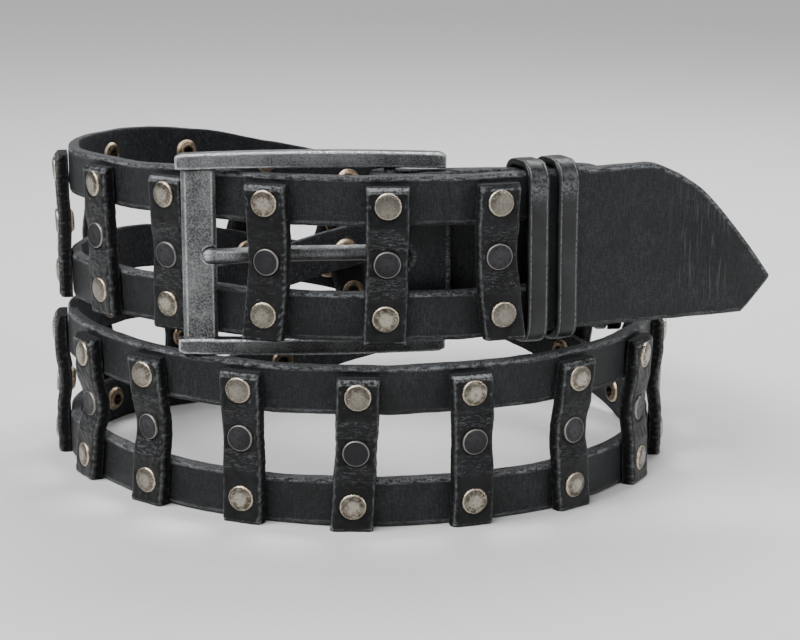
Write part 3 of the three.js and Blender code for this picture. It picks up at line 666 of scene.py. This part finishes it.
def strap_grid():
    """Flat places (s, h) of the grid, and each one's distance to the nearest cut edge."""
    s = strap_steps()
    rows = strap_rows()
    low, high = tip_edges(s)
    margin = np.minimum(EDGE_ROLL, (high - low) * 0.3)
    inner = (rows[None, :] - EDGE_ROLL) / (STRAP_WIDTH - 2 * EDGE_ROLL)
    h = (low + margin)[:, None] + inner * (high - low - 2 * margin)[:, None]
    lower_edge = rows < EDGE_ROLL
    upper_edge = rows > STRAP_WIDTH - EDGE_ROLL
    h[:, lower_edge] = low[:, None] + rows[lower_edge] * (margin / EDGE_ROLL)[:, None]
    h[:, upper_edge] = high[:, None] - (STRAP_WIDTH - rows[upper_edge]) * (margin / EDGE_ROLL)[:, None]
    half = SLOT_HEIGHT / 2
    reach = HALF_WIDTH - STRIP_WIDTH
    from_middle = np.abs(rows - HALF_WIDTH)
    spread = slot_half(s)[:, None]
    inside = from_middle[None, :] / half * spread
    outside = lerp(spread, reach, (from_middle[None, :] - half) / (reach - half))
    moved = HALF_WIDTH + np.sign(rows - HALF_WIDTH)[None, :] * np.where(from_middle <= half, inside, outside)
    by_slot = ((s > GAP_END + EDGE_ROLL)[:, None]) & (from_middle < reach)[None, :]
    h = np.where(by_slot, moved, h)
    places = s[:, None]
    slope = np.gradient(high, s)
    slope_low = np.gradient(low, s)
    gap = np.hypot(
        np.maximum(np.maximum(TIP_SOLID - places, places - GAP_END), 0),
        np.maximum(np.abs(h - HALF_WIDTH) - reach, 0),
    )
    slot_line = np.maximum(np.maximum(SLOT_START + half - places, places - SLOT_END + half), 0)
    distances = [
        (h - low[:, None]) / np.hypot(1, slope_low)[:, None],
        (high[:, None] - h) / np.hypot(1, slope)[:, None],
        places,
        STRAP_END - places,
        gap,
        np.hypot(slot_line, h - HALF_WIDTH) - half,
    ]
    return s, rows, h, np.maximum(np.minimum.reduce(np.broadcast_arrays(*distances)), 0)


def rolled(distance, roll, drop):
    """How far a rounded edge has fallen at a distance from the cut."""
    share = np.clip(1 - distance / roll, 0, 1)
    return drop * (1 - np.sqrt(np.clip(1 - share * share, 0, 1)))


def build_strap():
    """The whole strap as one skin: a front and a back sheet, joined along every cut edge."""
    s, rows, h, distance = strap_grid()
    stations, count = h.shape
    along = np.repeat(s[:, None], count, 1)
    front = HALF_LEATHER - rolled(distance, EDGE_ROLL, EDGE_DROP)
    back = -HALF_LEATHER + rolled(distance, BACK_ROLL, BACK_DROP)
    sheets = [np.stack([along, y, h], -1).reshape(-1, 3) for y in (front, back)]
    flat = np.vstack(sheets)
    edge = np.concatenate([distance.ravel(), distance.ravel()])
    loose = flat.copy()
    free = smooth(flat[:, 0], 0, 30)
    sheet = flat * (1, 0, 1)
    loose[:, 1] += WAVE_OUT * sway(sheet, 26, 3) + RIPPLE_OUT * sway(sheet, 7, 4)
    loose[:, 2] += free * (WAVE_UP * sway(flat * (1, 0, 0.25), 34, 5) + RIPPLE_UP * sway(flat, 6, 6))
    size = stations * count
    reach = HALF_WIDTH - STRIP_WIDTH
    centre_rows = np.abs((rows[:-1] + rows[1:]) / 2 - HALF_WIDTH)
    middles = (s[:-1] + s[1:]) / 2
    in_gap = ((middles > TIP_SOLID) & (middles < GAP_END))[:, None] & (centre_rows < reach)[None, :]
    by_slot = ((middles > SLOT_START) & (middles < SLOT_END))[:, None]
    in_slot = by_slot & (centre_rows < SLOT_HEIGHT / 2)[None, :]
    full = np.zeros((stations + 1, count + 1), bool)
    full[1:-1, 1:-1] = ~(in_gap | in_slot)
    faces, finish = [], []
    for i, j in zip(*np.nonzero(full)):
        a = (i - 1) * count + j - 1
        b, c, d = a + count, a + count + 1, a + 1
        folded = middles[i - 1] > TOTAL
        faces += [(a, d, c, b), (size + a, size + b, size + c, size + d)]
        finish += [0, 0 if folded else 1]
        sides = (((i, j - 1), a, b), ((i, j + 1), c, d), ((i - 1, j), d, a), ((i + 1, j), b, c))
        for beside, p, q in sides:
            if not full[beside]:
                faces.append((p, q, size + q, size + p))
                finish.append(0)
    used = np.unique(np.concatenate([np.array(face) for face in faces]))
    number = np.full(len(flat), -1)
    number[used] = np.arange(len(used))
    faces = [tuple(int(number[i]) for i in face) for face in faces]
    crease_and_bend_highlight = smooth(flat[:, 0], *CREASES_START) * smooth(flat[:, 0], *CREASES_END)
    crease_and_bend_highlight = crease_and_bend_highlight * smooth(np.abs(flat[:, 2] - HALF_WIDTH), *CREASES_REACH)
    return piece(
        "strap_leather", on_coil(loose[used]), faces, [STRAP_LEATHER, SUEDE], flat[used], edge[used],
        {"crease_and_bend_highlight": crease_and_bend_highlight[used]}, face_finish=finish,
    )


strap = build_strap()
strip_names = [f"strip_{side}_{k}" for k in (1, 2, 3) for side in ("lower", "upper")]
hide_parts("strap_tip", *strip_names, "strap_tab")

# The rungs
RUNG_BACK = HALF_LEATHER + CLEAR
RUNG_LOW = -HALF_WIDTH
RUNG_HIGH = HALF_WIDTH - RUNG_TOP_INSET
RUNG_SHOULDER = 1.35
RUNG_ROUND = 1.25
RUNG_CHAMFER = 1.5

# A bar's front: pressed in round each rivet, swollen in a ring outside that, and creased
RIVET_PRESS = 0.42
RIVET_PRESS_REACH = 4.9
RIVET_SWELL = 0.16
RIVET_SWELL_RADIUS = 5.6
RIVET_SWELL_WIDTH = 1.5
CREASE_DEPTH = 0.16
FIBRE_DEPTH = 0.10

# How far the grain moves on from one rung to the next, so that no two look alike
RUNG_GRAIN_STEP = 40

# What the photo shows of single rungs: the middle rivet's place above mid-height, how far the bar
# dips inward there, how deeply it is creased above and below that rivet, and how far its upper,
# middle and lower rivets sit along the strap from their even places
RUNG_NOTES = {
    1: (0.6, 1.0, 0.5, 0.7, 0.4, 0.5, -0.9), 2: (-0.6, 0.6, 1.0, 0.8, -1.0, -0.8, -0.3),
    3: (-0.7, 0.4, 0.15, 0.2, 0.4, 0.0, 1.2), 4: (-1.6, 0.4, 0.6, 0.6, 0.4, 0.1, 0.3),
    5: (0.5, 0.3, 0.6, 0.7, -0.1, -0.4, -1.2), 6: (-0.4, 0.4, 0.5, 0.5, 0.4, 0.0, -0.4),
    15: (-0.3, 1.2, 0.5, 0.5, 0.3, -0.2, 0.2), 16: (-0.1, 1.2, 0.5, 0.4, -0.8, 0.9, 0.5),
    17: (0.6, 1.1, 0.5, 0.5, -0.3, 1.2, 0.8), 18: (1.6, 0.8, 0.8, 0.6, 1.1, 0.6, 0.7),
    19: (-0.4, 0.8, 0.7, 0.4, 0.8, 1.4, 2.3), 20: (2.1, 0.3, 0.4, 0.8, 2.0, 1.6, 1.6),
    21: (0.3, 1.2, 0.8, 1.0, 2.2, 1.0, 1.8), 22: (0.4, 1.9, 0.5, 0.6, 0.0, -0.8, 1.2),
    23: (-0.6, 1.1, 0.5, 0.5, 0.4, -0.4, 0.2),
}

# The rungs whose tops are worn lightest
BRIGHT_TOPS = (2, 4, 18)


def rung_note(k):
    """A rung's row of notes, or drawn values where the photo doesn't show it."""
    draw = np.random.RandomState(100 + k)
    place = (draw.uniform(-1, 1), draw.uniform(0.3, 1.3))
    spare = (*place, *draw.uniform(0.2, 0.9, 2), *draw.uniform(-0.7, 0.7, 3))
    return RUNG_NOTES.get(k, spare)


def lean_at(z, note):
    """How far along the strap the bar's middle lies at height z, by a curve through its three rivets."""
    rise, upper, middle, lower = note[0], *note[4:]
    heights = (RIVET_RISE, rise, -RIVET_RISE)
    offset = 0
    for i, place in enumerate((upper, middle, lower)):
        a, b = (heights[j] for j in range(3) if j != i)
        offset = offset + place * (z - a) * (z - b) / ((heights[i] - a) * (heights[i] - b))
    return offset


def dip_at(z, dip):
    """How far the bar sinks inward between the strips."""
    free = STRIP_WIDTH - HALF_WIDTH
    return dip * smooth(np.abs(z), -free + 0.5, 1.0)


def rung_section():
    """The bar's outline as (x, depth, rawness): front samples, then the side, back and other side."""
    half = RUNG_WIDTH / 2
    flat_half = half - RUNG_SHOULDER
    left = np.linspace(-half, -flat_half, 5)
    middle = np.linspace(-flat_half, flat_half, 18)[1:-1]
    front = np.concatenate([left, middle, np.linspace(flat_half, half, 5)])
    over = np.clip(np.abs(front) - flat_half, 0, None) / RUNG_SHOULDER
    rows = []
    for x, share in zip(front, over):
        fallen = RUNG_ROUND * (1 - math.sqrt(1 - min(share, 1) ** 2))
        rows.append((x, RUNG_THICKNESS - fallen, 2.0 - 1.2 * share))
    side = RUNG_THICKNESS - RUNG_ROUND
    rows += [(half + 0.12, side * t, 0.0) for t in (0.8, 0.55, 0.3, 0.1)]
    rows += [(x, 0.0, 0.0) for x in np.linspace(half - 0.3, -half + 0.3, 7)]
    rows += [(-half - 0.12, side * t, 0.0) for t in (0.1, 0.3, 0.55, 0.8)]
    return np.array(rows)


def crease_at(x, z, rise, above, below):
    """How strongly the front is creased, on both sides of the middle rivet."""
    upper = above * smooth(z - rise, 3.4, 5.0) * smooth(z - rise, 11.8, 8.5)
    lower = below * smooth(rise - z, 3.4, 5.0) * smooth(rise - z, 11.8, 8.5)
    return (upper + lower) * smooth(np.abs(x), RUNG_WIDTH / 2, RUNG_WIDTH / 2 - 1.6)


def build_rung(k):
    """One leather bar on its seat, pressed in by its rivets, creased, dipped and rough at its sides."""
    note = rung_note(k)
    rise, dip, above, below = note[:4]
    section = rung_section()
    ends = np.array([0, 0.15, 0.45, 0.9, RUNG_CHAMFER])
    body = np.linspace(RUNG_LOW + 1.3, RUNG_HIGH - 2.0, 100)
    z_values = np.concatenate([RUNG_LOW + ends * 0.6, body, RUNG_HIGH - ends[::-1]])
    x, depth, raw = (np.tile(section[:, c], (len(z_values), 1)) for c in range(3))
    z = np.tile(z_values[:, None], (1, len(section)))
    front = smooth(depth, 1.5, RUNG_THICKNESS - 0.4)
    top = RUNG_HIGH - z
    bottom = z - RUNG_LOW
    chamfer = np.clip(1 - top / RUNG_CHAMFER, 0, 1) * 1.25 + np.clip(1 - bottom / 0.8, 0, 1) * 0.5
    drop = np.zeros_like(z)
    for place in (RIVET_RISE, rise, -RIVET_RISE):
        away = np.hypot(x, z - place)
        pressed = RIVET_PRESS * np.exp(-(away / RIVET_PRESS_REACH) ** 4)
        swollen = RIVET_SWELL * np.exp(-((away - RIVET_SWELL_RADIUS) / RIVET_SWELL_WIDTH) ** 2)
        drop += pressed - swollen
    crease_and_bend_highlight = crease_at(x, z, rise, above, below)
    stretched = np.stack([x * 0.35, 0 * x, z], -1).reshape(-1, 3)
    drop += crease_and_bend_highlight * CREASE_DEPTH * sway(stretched, 2.2, k + 30).reshape(x.shape)
    drop += chamfer
    narrow = 1 - 0.05 * smooth(np.abs(z - rise), 9, 0) - 0.03 * np.clip(1 - top / 0.5, 0, 1) ** 2
    flat = np.stack([x + RUNG_GRAIN_STEP * k, depth, z], -1).reshape(-1, 3)
    uneven = 0.10 * sway(flat, 9, k) + 0.07 * sway(flat, 2.6, k + 50)
    fibres = np.where(raw < 0.5, 1.0, 0.25).ravel() * FIBRE_DEPTH * sway(flat, 1.9, k + 90)
    new_depth = (np.minimum(depth, depth - drop * front)).ravel() + uneven * front.ravel()
    new_x = x.ravel() * narrow.ravel() + np.sign(x).ravel() * fibres + lean_at(z, note).ravel()
    out = RUNG_BACK + new_depth - dip_at(z, dip).ravel()
    local = np.stack([new_x, out, z.ravel()], 1)
    rings = on_place(SEATS[k - 1], local).reshape(len(z_values), len(section), 3)
    points, faces = loft(rings)
    faces = [face[::-1] for face in faces]
    raw_edge = raw - 2 * np.clip(1 - top / 0.4, 0, 1)
    worn_top = np.random.RandomState(700 + k).uniform(0.25, 0.8) if k not in BRIGHT_TOPS else 1.0
    tip = smooth(top, RUNG_CHAMFER + 0.1, 0.75) * smooth(top, -0.1, 0.2) * front * worn_top
    marks = {"crease_and_bend_highlight": crease_and_bend_highlight.ravel() * (raw.ravel() > 0.7), "tip": tip.ravel()}
    bar = piece(f"rung_bar_{k:02d}", points, faces, [BAR_LEATHER], flat, raw_edge.ravel(), marks, spread=1)
    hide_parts(f"rung_{k:02d}")


# Turned profiles of the rivets as (radius, height over the leather) from the middle out
RIVET_SIDES = 40
CAP_RADIUS = CAP_DIAMETER / 2
NICKEL_PROFILE = (
    (0.01, 1.16), (0.9, 1.17), (1.7, 1.15), (2.2, 1.1), (2.6, 1.0), (3.0, 0.93), (3.4, 0.84), (3.7, 0.72),
    (3.92, 0.55), (4.04, 0.36), (CAP_RADIUS, 0.12), (CAP_RADIUS - 0.05, -0.5),
)
DARK_PROFILE = (
    (0.01, 0.72), (0.22, 0.76), (0.42, 0.86), (1.8, 0.87), (3.2, 0.88), (3.45, 0.9), (3.62, 0.98),
    (3.78, 1.0), (3.93, 0.9), (4.04, 0.68), (CAP_RADIUS, 0.4), (CAP_RADIUS - 0.05, -0.5),
)
BACK_RADIUS = BACK_DIAMETER / 2
BACK_PROFILE = (
    (0.01, 0.1), (1.0, 0.12), (1.25, 0.5), (1.5, 1.05), (1.8, 1.3), (2.3, BACK_HEIGHT - 0.02), (2.8, 1.4),
    (3.3, 1.12), (3.7, 0.75), (4.0, 0.4), (BACK_RADIUS, 0.15), (BACK_RADIUS - 0.05, -0.3),
)


def rivet_part(profile, place, lean, flip, out, x, z):
    """One turned rivet end on a seat, leaning a little: points, faces, shares of its radius, own places."""
    rows = [(r, -y) if flip else (r, y) for r, y in profile]
    points, faces = turned(rows, RIVET_SIDES)
    radius = max(r for r, _ in profile)
    share = np.hypot(points[:, 0], points[:, 2]) / radius
    if flip:
        faces = [face[::-1] for face in faces]
    points[:, 1] += lean[0] * points[:, 0] + lean[1] * points[:, 2] + out
    points += (x, 0, z)
    return on_place(place, points), [face[::-1] for face in faces], share, points


def build_rivets(k):
    """The three rivets of a rung: nickel caps above and below, a dark one between, and their backs."""
    note = rung_note(k)
    rise, dip = note[:2]
    draw = np.random.RandomState(900 + k)
    seat = SEATS[k - 1]
    surface = RUNG_BACK + RUNG_THICKNESS - 0.35
    inside = -HALF_LEATHER - CLEAR + 0.15
    parts = []
    ends = ((RIVET_RISE, NICKEL_PROFILE, 0), (rise, DARK_PROFILE, 1), (-RIVET_RISE, NICKEL_PROFILE, 0))
    for z, profile, finish in ends:
        x = lean_at(z, note)
        lean = draw.uniform(-0.075, 0.075, 2)
        sunk = dip if finish == 1 else 0
        parts.append((rivet_part(profile, seat, lean, False, surface - sunk, x, z), finish))
        back = RUNG_BACK - sunk + 0.5 if finish == 1 else inside
        parts.append((rivet_part(BACK_PROFILE, seat, lean, True, back, x, z), 2))
    points, faces = gather([(part[0], part[1]) for part, _ in parts])
    share = np.concatenate([part[2] for part, _ in parts])
    flat = np.vstack([part[3] for part, _ in parts]) + (RUNG_GRAIN_STEP * k, 0, 0)
    finish = [kind for part, kind in parts for _ in part[1]]
    metals = [NICKEL, GUNMETAL, WARM_NICKEL]
    made = piece(f"rivets_{k:02d}", points, faces, metals, flat, share, sharp=75, face_finish=finish)


for number in range(1, RUNGS + 1):
    build_rung(number)
    build_rivets(number)

# The buckle
FOLD_MIDDLE, FOLD_ALONG, FOLD_OUT, FOLD_UP = (value[0] for value in strap_at(TOTAL))
PIVOT = FOLD_MIDDLE + FOLD_OUT * FOLD_RADIUS


def frame_place():
    """The buckle's middle and directions at its pivot, and how far its outer bar lies from there."""
    middle, _, out, _ = (value[0] for value in strap_at(TIP_LENGTH + OUTER_BAR_PLACE * PITCH))
    skew = abs(unit(middle - PIVOT) @ out)
    offset = HALF_LEATHER + OUTER_BAR_THICKNESS / 2 + skew * OUTER_BAR_WIDTH / 2 + 2 * CLEAR
    bar = middle + out * offset
    travel = bar - PIVOT
    travel[2] = 0
    reach = np.linalg.norm(travel)
    return (np.array([*PIVOT[:2], (PIVOT[2] + bar[2]) / 2]), *axes_of(travel)), reach


FRAME_PLACE, FRAME_REACH = frame_place()


def cast(name, parts, grain, place, carve=None, smoothing=3):
    """Fuses overlapping parts in local millimetres into one soft-edged casting and places it."""
    points, faces = gather(parts)
    mesh = bpy.data.meshes.new(name + "_rough")
    mesh.from_pydata((points / 1000).tolist(), [], faces)
    rough = new_object(name + "_rough", mesh)
    fuse = rough.modifiers.new("fuse", "REMESH")
    fuse.mode = "VOXEL"
    fuse.voxel_size = grain / 1000
    relax = rough.modifiers.new("relax", "SMOOTH")
    relax.factor = 0.5
    relax.iterations = smoothing
    shown = rough.evaluated_get(bpy.context.evaluated_depsgraph_get()).to_mesh()
    local = np.array([v.co for v in shown.vertices]) * 1000
    made_faces = [tuple(face.vertices) for face in shown.polygons]
    rough.to_mesh_clear()
    bpy.data.objects.remove(rough)
    if carve is not None:
        local = carve(local)
    return piece(name, on_place(place, local), made_faces, [BUCKLE_METAL], local, sharp=60, spread=3)


def block(xs, y_of, z_of):
    """A beam along x. y_of and z_of give its depth and height range at a share of its length."""
    rings = []
    for share in np.linspace(0, 1, 41):
        y0, y1 = y_of(share)
        z0, z1 = z_of(share)
        x = lerp(xs[0], xs[1], share)
        rings.append([(x, y0, z0), (x, y1, z0), (x, y1, z1), (x, y0, z1)])
    points, faces = loft(rings)
    return points, [face[::-1] for face in faces]


def rail(sign):
    """The upper rail where sign is 1, and the lower one where it is -1."""
    outer = FRAME_HEIGHT / 2
    inner = outer - RAIL_HEIGHT
    corner = 0.7
    length = FRAME_REACH + RAIL_NOSE + RAIL_TAIL

    def bow(share):
        return math.sin(math.pi * share)

    def heights(share):
        end = min(share, 1 - share) * length
        cut = corner * max(0, 1 - end / corner) ** 2
        low = inner + RAIL_INNER_BOW * bow(share)
        high = outer + RAIL_BOW * bow(share) - cut
        return (low, high) if sign > 0 else (-high, -low)

    def depths(share):
        end = min(share, 1 - share) * length
        cut = 0.5 * max(0, 1 - end / 0.5) ** 2
        return -RAIL_DEPTH / 2 + cut, RAIL_DEPTH / 2 - cut

    return block((-RAIL_TAIL, FRAME_REACH + RAIL_NOSE), depths, heights)


def upright(outline, height):
    """An upright bar with an outline of (x, y) rows."""
    return loft([[(x, y, z) for x, y in outline] for z in np.linspace(-height / 2, height / 2, 41)])


# The rest for the prong: how deep it is, and how wide its sloping side
REST_DEPTH = 1.3
REST_SLOPE = 1.2


def carve_seat(local):
    """Sinks the rest for the prong's tip into the outer bar's front, with a round end."""
    radius = PRONG_SEAT_RADIUS
    centre = FRAME_REACH - PRONG_SHORT - PRONG_DIAMETER / 2
    away = np.hypot(np.maximum(local[:, 0] - centre, 0), local[:, 2])
    front = (local[:, 1] > 0) & (local[:, 0] > FRAME_REACH - OUTER_BAR_WIDTH) & (away < radius)
    floor = OUTER_BAR_THICKNESS / 2 - REST_DEPTH * smooth(radius - away, 0, REST_SLOPE)
    local[front, 1] = np.minimum(local[front, 1], floor[front])
    return local


def build_frame():
    """The buckle's two rails, outer bar and pivot, fused into one casting."""
    half = OUTER_BAR_WIDTH / 2
    thick = OUTER_BAR_THICKNESS / 2
    bevel = OUTER_BAR_BEVEL
    outline = [
        (-half, -thick), (half, -thick), (half, thick - bevel),
        (half - bevel, thick), (-half + bevel, thick), (-half, thick - bevel),
    ]
    height = FRAME_HEIGHT - RAIL_HEIGHT
    bar = upright([(FRAME_REACH + x, y) for x, y in outline], height)
    angles = round_angles(20)
    pin = upright([(PIVOT_RADIUS * math.cos(a), PIVOT_RADIUS * math.sin(a)) for a in angles], height)
    made = cast("buckle_body", [rail(1), rail(-1), bar, pin], 0.33, FRAME_PLACE, carve_seat)
    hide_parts("buckle_frame")


# The prong's middle line: shares of its reach, and of its rise onto the outer bar
PRONG_LINE = ((0, 0), (0.2, 0.02), (0.62, 0.18), (0.765, 0.4), (0.89, 1), (1, 1))


def ring_round(centre, radius, side, angles):
    """Points round centre, in the plane of side and the height."""
    return [centre + radius * (math.cos(a) * side + math.sin(a) * np.array([0, 0, 1])) for a in angles]


def build_prong():
    """The prong: a bent round rod with a round tip, and an eye round the pivot."""
    tip_out = OUTER_BAR_THICKNESS / 2 - PRONG_SEAT + PRONG_SEAT_RADIUS
    reach = FRAME_REACH - PRONG_SHORT
    eye_inner = PIVOT_RADIUS + CLEAR
    eye_outer = eye_inner + PRONG_WALL
    start = eye_outer - PRONG_WALL / 2
    radius = PRONG_DIAMETER / 2
    line = through([(lerp(start, reach - radius, a), o * tip_out, 0) for a, o in PRONG_LINE], 60)
    angles = round_angles(28)
    rings = []
    for point, along in zip(line, unit(np.gradient(line, axis=0))):
        side = np.array([-along[1], along[0], 0])
        rings.append(ring_round(point, radius, side, angles))
    for turn in np.linspace(0, math.pi / 2, 8)[1:]:
        centre = line[-1] + np.array([radius * math.sin(turn), 0, 0])
        size = max(radius * math.cos(turn), 0.05)
        rings.append(ring_round(centre, size, side, angles))
    rod = loft(rings)
    half = PRONG_EYE_HEIGHT / 2
    ring = [(eye_inner, -half), (eye_inner, half), (eye_outer, half), (eye_outer, -half)]
    eye_rings = [[(r * math.cos(a), r * math.sin(a), z) for r, z in ring] for a in round_angles(48)]
    eye = loft(eye_rings, closed=True)
    made = cast("prong_rod", [rod, eye], 0.3, FRAME_PLACE, smoothing=2)
    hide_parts("prong")


build_frame()
build_prong()


# The keepers
KEEPER_INNER_CORNER = 4.0
KEEPER_STEPS = 200
KEEPER_GRAIN_STEP = 300

# Where each keeper's painted highlight lies on its bend: how far below its upper front corner, and over what
# reach
BEND_LIGHT_PLACE = 1.5
BEND_LIGHT_REACH = 3.4
BEND_LIGHT_STRENGTH = 0.8


def keeper_section():
    """A keeper's section as (across, depth): a creased line inside each rounded arris."""
    half = KEEPER_WIDTH / 2
    across = np.array([-1, -0.985, -0.93, -0.86, -0.8, -0.75, -0.70, -0.65, -0.5, -0.25, 0])
    depth = np.array([0.55, 0.8, 0.95, 1.0, 0.97, 0.86, 0.95, 1.0, 1.02, 1.03, 1.04])
    front = [(a * half, d * KEEPER_THICKNESS) for a, d in zip(across, depth)]
    front += [(-a, d) for a, d in front[-2::-1]]
    back = [(half * 0.98, 0.35), (half * 0.9, 0.06), (half * 0.4, 0)]
    back += [(-a, d) for a, d in back[::-1]]
    return np.array(front + back)


def keeper_loop(low, high, top, radius, steps):
    """A rounded rectangle in the out-up plane, counter-clockwise: places, ways outward, lengths along it."""
    corners = (
        (high - radius, top - radius, 0), (low + radius, top - radius, 0.5),
        (low + radius, -top + radius, 1), (high - radius, -top + radius, 1.5),
    )
    places, outward = [], []
    for x, y, start in corners:
        for share in np.linspace(0, 1, 9):
            angle = math.pi * (start + share / 2)
            places.append((x + radius * math.cos(angle), y + radius * math.sin(angle)))
            outward.append((math.cos(angle), math.sin(angle)))
    places = np.array(places + places[:1])
    outward = np.array(outward + outward[:1])
    lengths = np.concatenate([[0], np.cumsum(np.linalg.norm(np.diff(places, axis=0), axis=1))])
    even = np.linspace(0, lengths[-1], steps, endpoint=False)
    places, outward = (
        np.stack([np.interp(even, lengths, rows[:, c]) for c in range(2)], 1) for rows in (places, outward)
    )
    return places, outward, even


def build_keeper(number, distance):
    """A band round the pointed end and the strap behind it, distance before the first rung."""
    middle, along, out, up = (value[0] for value in strap_at(TIP_LENGTH - distance))
    behind = np.arange(TOTAL - TAB_SOLID, TOTAL, 1.0)
    gaps = point_on(behind, LINE) - middle
    close = np.abs(gaps @ along) <= KEEPER_WIDTH / 2 + KEEPER_MARGIN
    play = CLEAR + KEEPER_PLAY
    low = min(0, (gaps[close] @ out).min()) - HALF_LEATHER - play
    high = HALF_LEATHER + play
    places, outward, travel = keeper_loop(low, high, HALF_WIDTH + play, KEEPER_INNER_CORNER, KEEPER_STEPS)
    section = keeper_section()
    flat = np.array([(a, step, d) for step in travel for a, d in section]) + (0, KEEPER_GRAIN_STEP * number, 0)
    uneven = 0.09 * sway(flat, 16, 40 + number) + 0.03 * sway(flat, 3, 44 + number)
    rings = []
    for i, (place, way) in enumerate(zip(places, unit(outward))):
        for j, (a, d) in enumerate(section):
            depth = d + uneven[i * len(section) + j] * (d > 1)
            across = a + 0.12 * math.sin(travel[i] / 9 + number)
            rings.append((across, place[0] + way[0] * depth, place[1] + way[1] * depth))
    points, faces = loft(np.array(rings).reshape(len(travel), len(section), 3), closed=True)
    length = 2 * travel[-1] - travel[-2]
    from_bend = (travel + length / 2) % length - length / 2
    # Painted highlight: a band of light colour just below the upper front bend, where the curve faces the
    # light.
    bend = np.repeat(np.exp(-((from_bend + BEND_LIGHT_PLACE) / BEND_LIGHT_REACH) ** 2), len(section))
    painted_bend_light = bend * smooth(np.abs(flat[:, 0]), 3.4, 2.2) * (flat[:, 2] > 1)
    # The keepers put their painted bend highlight in the same slot that holds the creases of the strap and
    # rungs.
    made = piece(
        f"keeper_band_{number}", on_place((middle, along, out, up), points), faces, [BAND_LEATHER], flat,
        marks={"crease_and_bend_highlight": painted_bend_light * BEND_LIGHT_STRENGTH}, sharp=60, spread=1,
    )
    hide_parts(f"keeper_{number}")


for number, distance in enumerate(KEEPER_PLACES, 1):
    build_keeper(number, distance)


# The tab's two rivets
def build_tab_rivet(number, z):
    """The heads of a plain rivet through the strap and its folded end."""
    place = seat_at(TOTAL - TAB_RIVET_PLACE, TAB_SEAT_HALF)
    inside = -HALF_LEATHER - CLEAR
    under, _, way, _ = (value[0] for value in strap_at(TOTAL - TAB_RIVET_PLACE + TAB_SEAT_HALF))
    share = smooth(TAB_RIVET_PLACE - TAB_SEAT_HALF, 0, FLAP_LENGTH)
    flap = under + way * lerp(2 * FOLD_RADIUS, PLY, share)
    outside = (flap - place[0]) @ place[2] + HALF_LEATHER + CLEAR
    head = TAB_RIVET_HEAD / 2
    height = TAB_RIVET_HEAD_HEIGHT
    dome = [
        (0.01, height), (head * 0.5, height * 0.96), (head * 0.8, height * 0.75),
        (head * 0.96, height * 0.4), (head, 0), (head - 0.1, -0.1),
    ]
    sides = ((False, outside), (True, inside))
    parts = [rivet_part(dome, place, (0, 0), flip, out, 0, z) for flip, out in sides]
    points, faces = gather([(part[0], part[1]) for part in parts])
    made = piece(
        f"tab_rivet_heads_{number}", points, faces, [NICKEL], np.vstack([part[3] for part in parts]),
        np.concatenate([part[2] for part in parts]), sharp=75,
    )
    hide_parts(f"tab_rivet_{number}")


build_tab_rivet(1, -RIVET_RISE)
build_tab_rivet(2, RIVET_RISE)

# The camera, in metres: at the photo's place, with its lens and slight roll
CAMERA_PLACE = (-0.00025, -0.6637, 0.20734)
CAMERA_PITCH = 13.905
CAMERA_ROLL = 0.18
CAMERA_LENS = 90.53

# Area lights: name, place and size in metres, and power
LIGHTS = (
    ("key", (-0.6, -0.25, 0.8), (0.3, 0.3), 6),
    ("top", (0.2, 0.5, 0.8), (0.6, 0.3), 8),
    ("side", (0.85, -0.45, 0.5), (0.2, 0.4), 3.5),
)
LIGHT_AIM = (0, 0, 0.06)
SUN_POWER = 2.3
SUN_SPREAD = 40
SUN_TURN = (28, -24)
WORLD_COLOR = (0.86, 0.88, 0.92, 1)
WORLD_POWER = 0.20
FLOOR_HALF = 30.0
FLOOR_COLOR = (0.72, 0.72, 0.71, 1)


def build_camera():
    data = bpy.data.cameras.new("camera")
    data.lens = CAMERA_LENS
    data.sensor_width = 36
    camera = new_object("camera", data)
    tilt = Matrix.Rotation(math.radians(90 - CAMERA_PITCH), 4, "X")
    roll = Matrix.Rotation(math.radians(CAMERA_ROLL), 4, "Z")
    camera.matrix_world = Matrix.Translation(CAMERA_PLACE) @ (tilt @ roll)
    bpy.context.scene.camera = camera


def build_light(name, place, size, power):
    data = bpy.data.lights.new(name, "AREA")
    data.shape = "RECTANGLE"
    data.size, data.size_y = size
    data.energy = power
    light = new_object(name, data)
    way = Vector(LIGHT_AIM) - Vector(place)
    light.matrix_world = Matrix.Translation(place) @ way.to_track_quat("-Z", "Y").to_matrix().to_4x4()


def build_studio():
    world = bpy.data.worlds.new("studio")
    world.use_nodes = True
    background = world.node_tree.nodes["Background"]
    background.inputs["Color"].default_value = WORLD_COLOR
    background.inputs["Strength"].default_value = WORLD_POWER
    bpy.context.scene.world = world
    for light in LIGHTS:
        build_light(*light)
    data = bpy.data.lights.new("soft_sun", "SUN")
    data.energy = SUN_POWER
    data.angle = math.radians(SUN_SPREAD)
    new_object("soft_sun", data).rotation_euler = (*np.radians(SUN_TURN), 0)
    mesh = bpy.data.meshes.new("floor")
    corners = [(x * FLOOR_HALF, y * FLOOR_HALF, 0) for x, y in ((-1, -1), (1, -1), (1, 1), (-1, 1))]
    mesh.from_pydata(corners, [], [(0, 1, 2, 3)])
    floor = new_object("floor", mesh)
    finish = Finish("floor", Roughness=0.7)
    finish.shader.inputs["Base Color"].default_value = FLOOR_COLOR
    mesh.materials.append(finish.material)


build_camera()
build_studio()
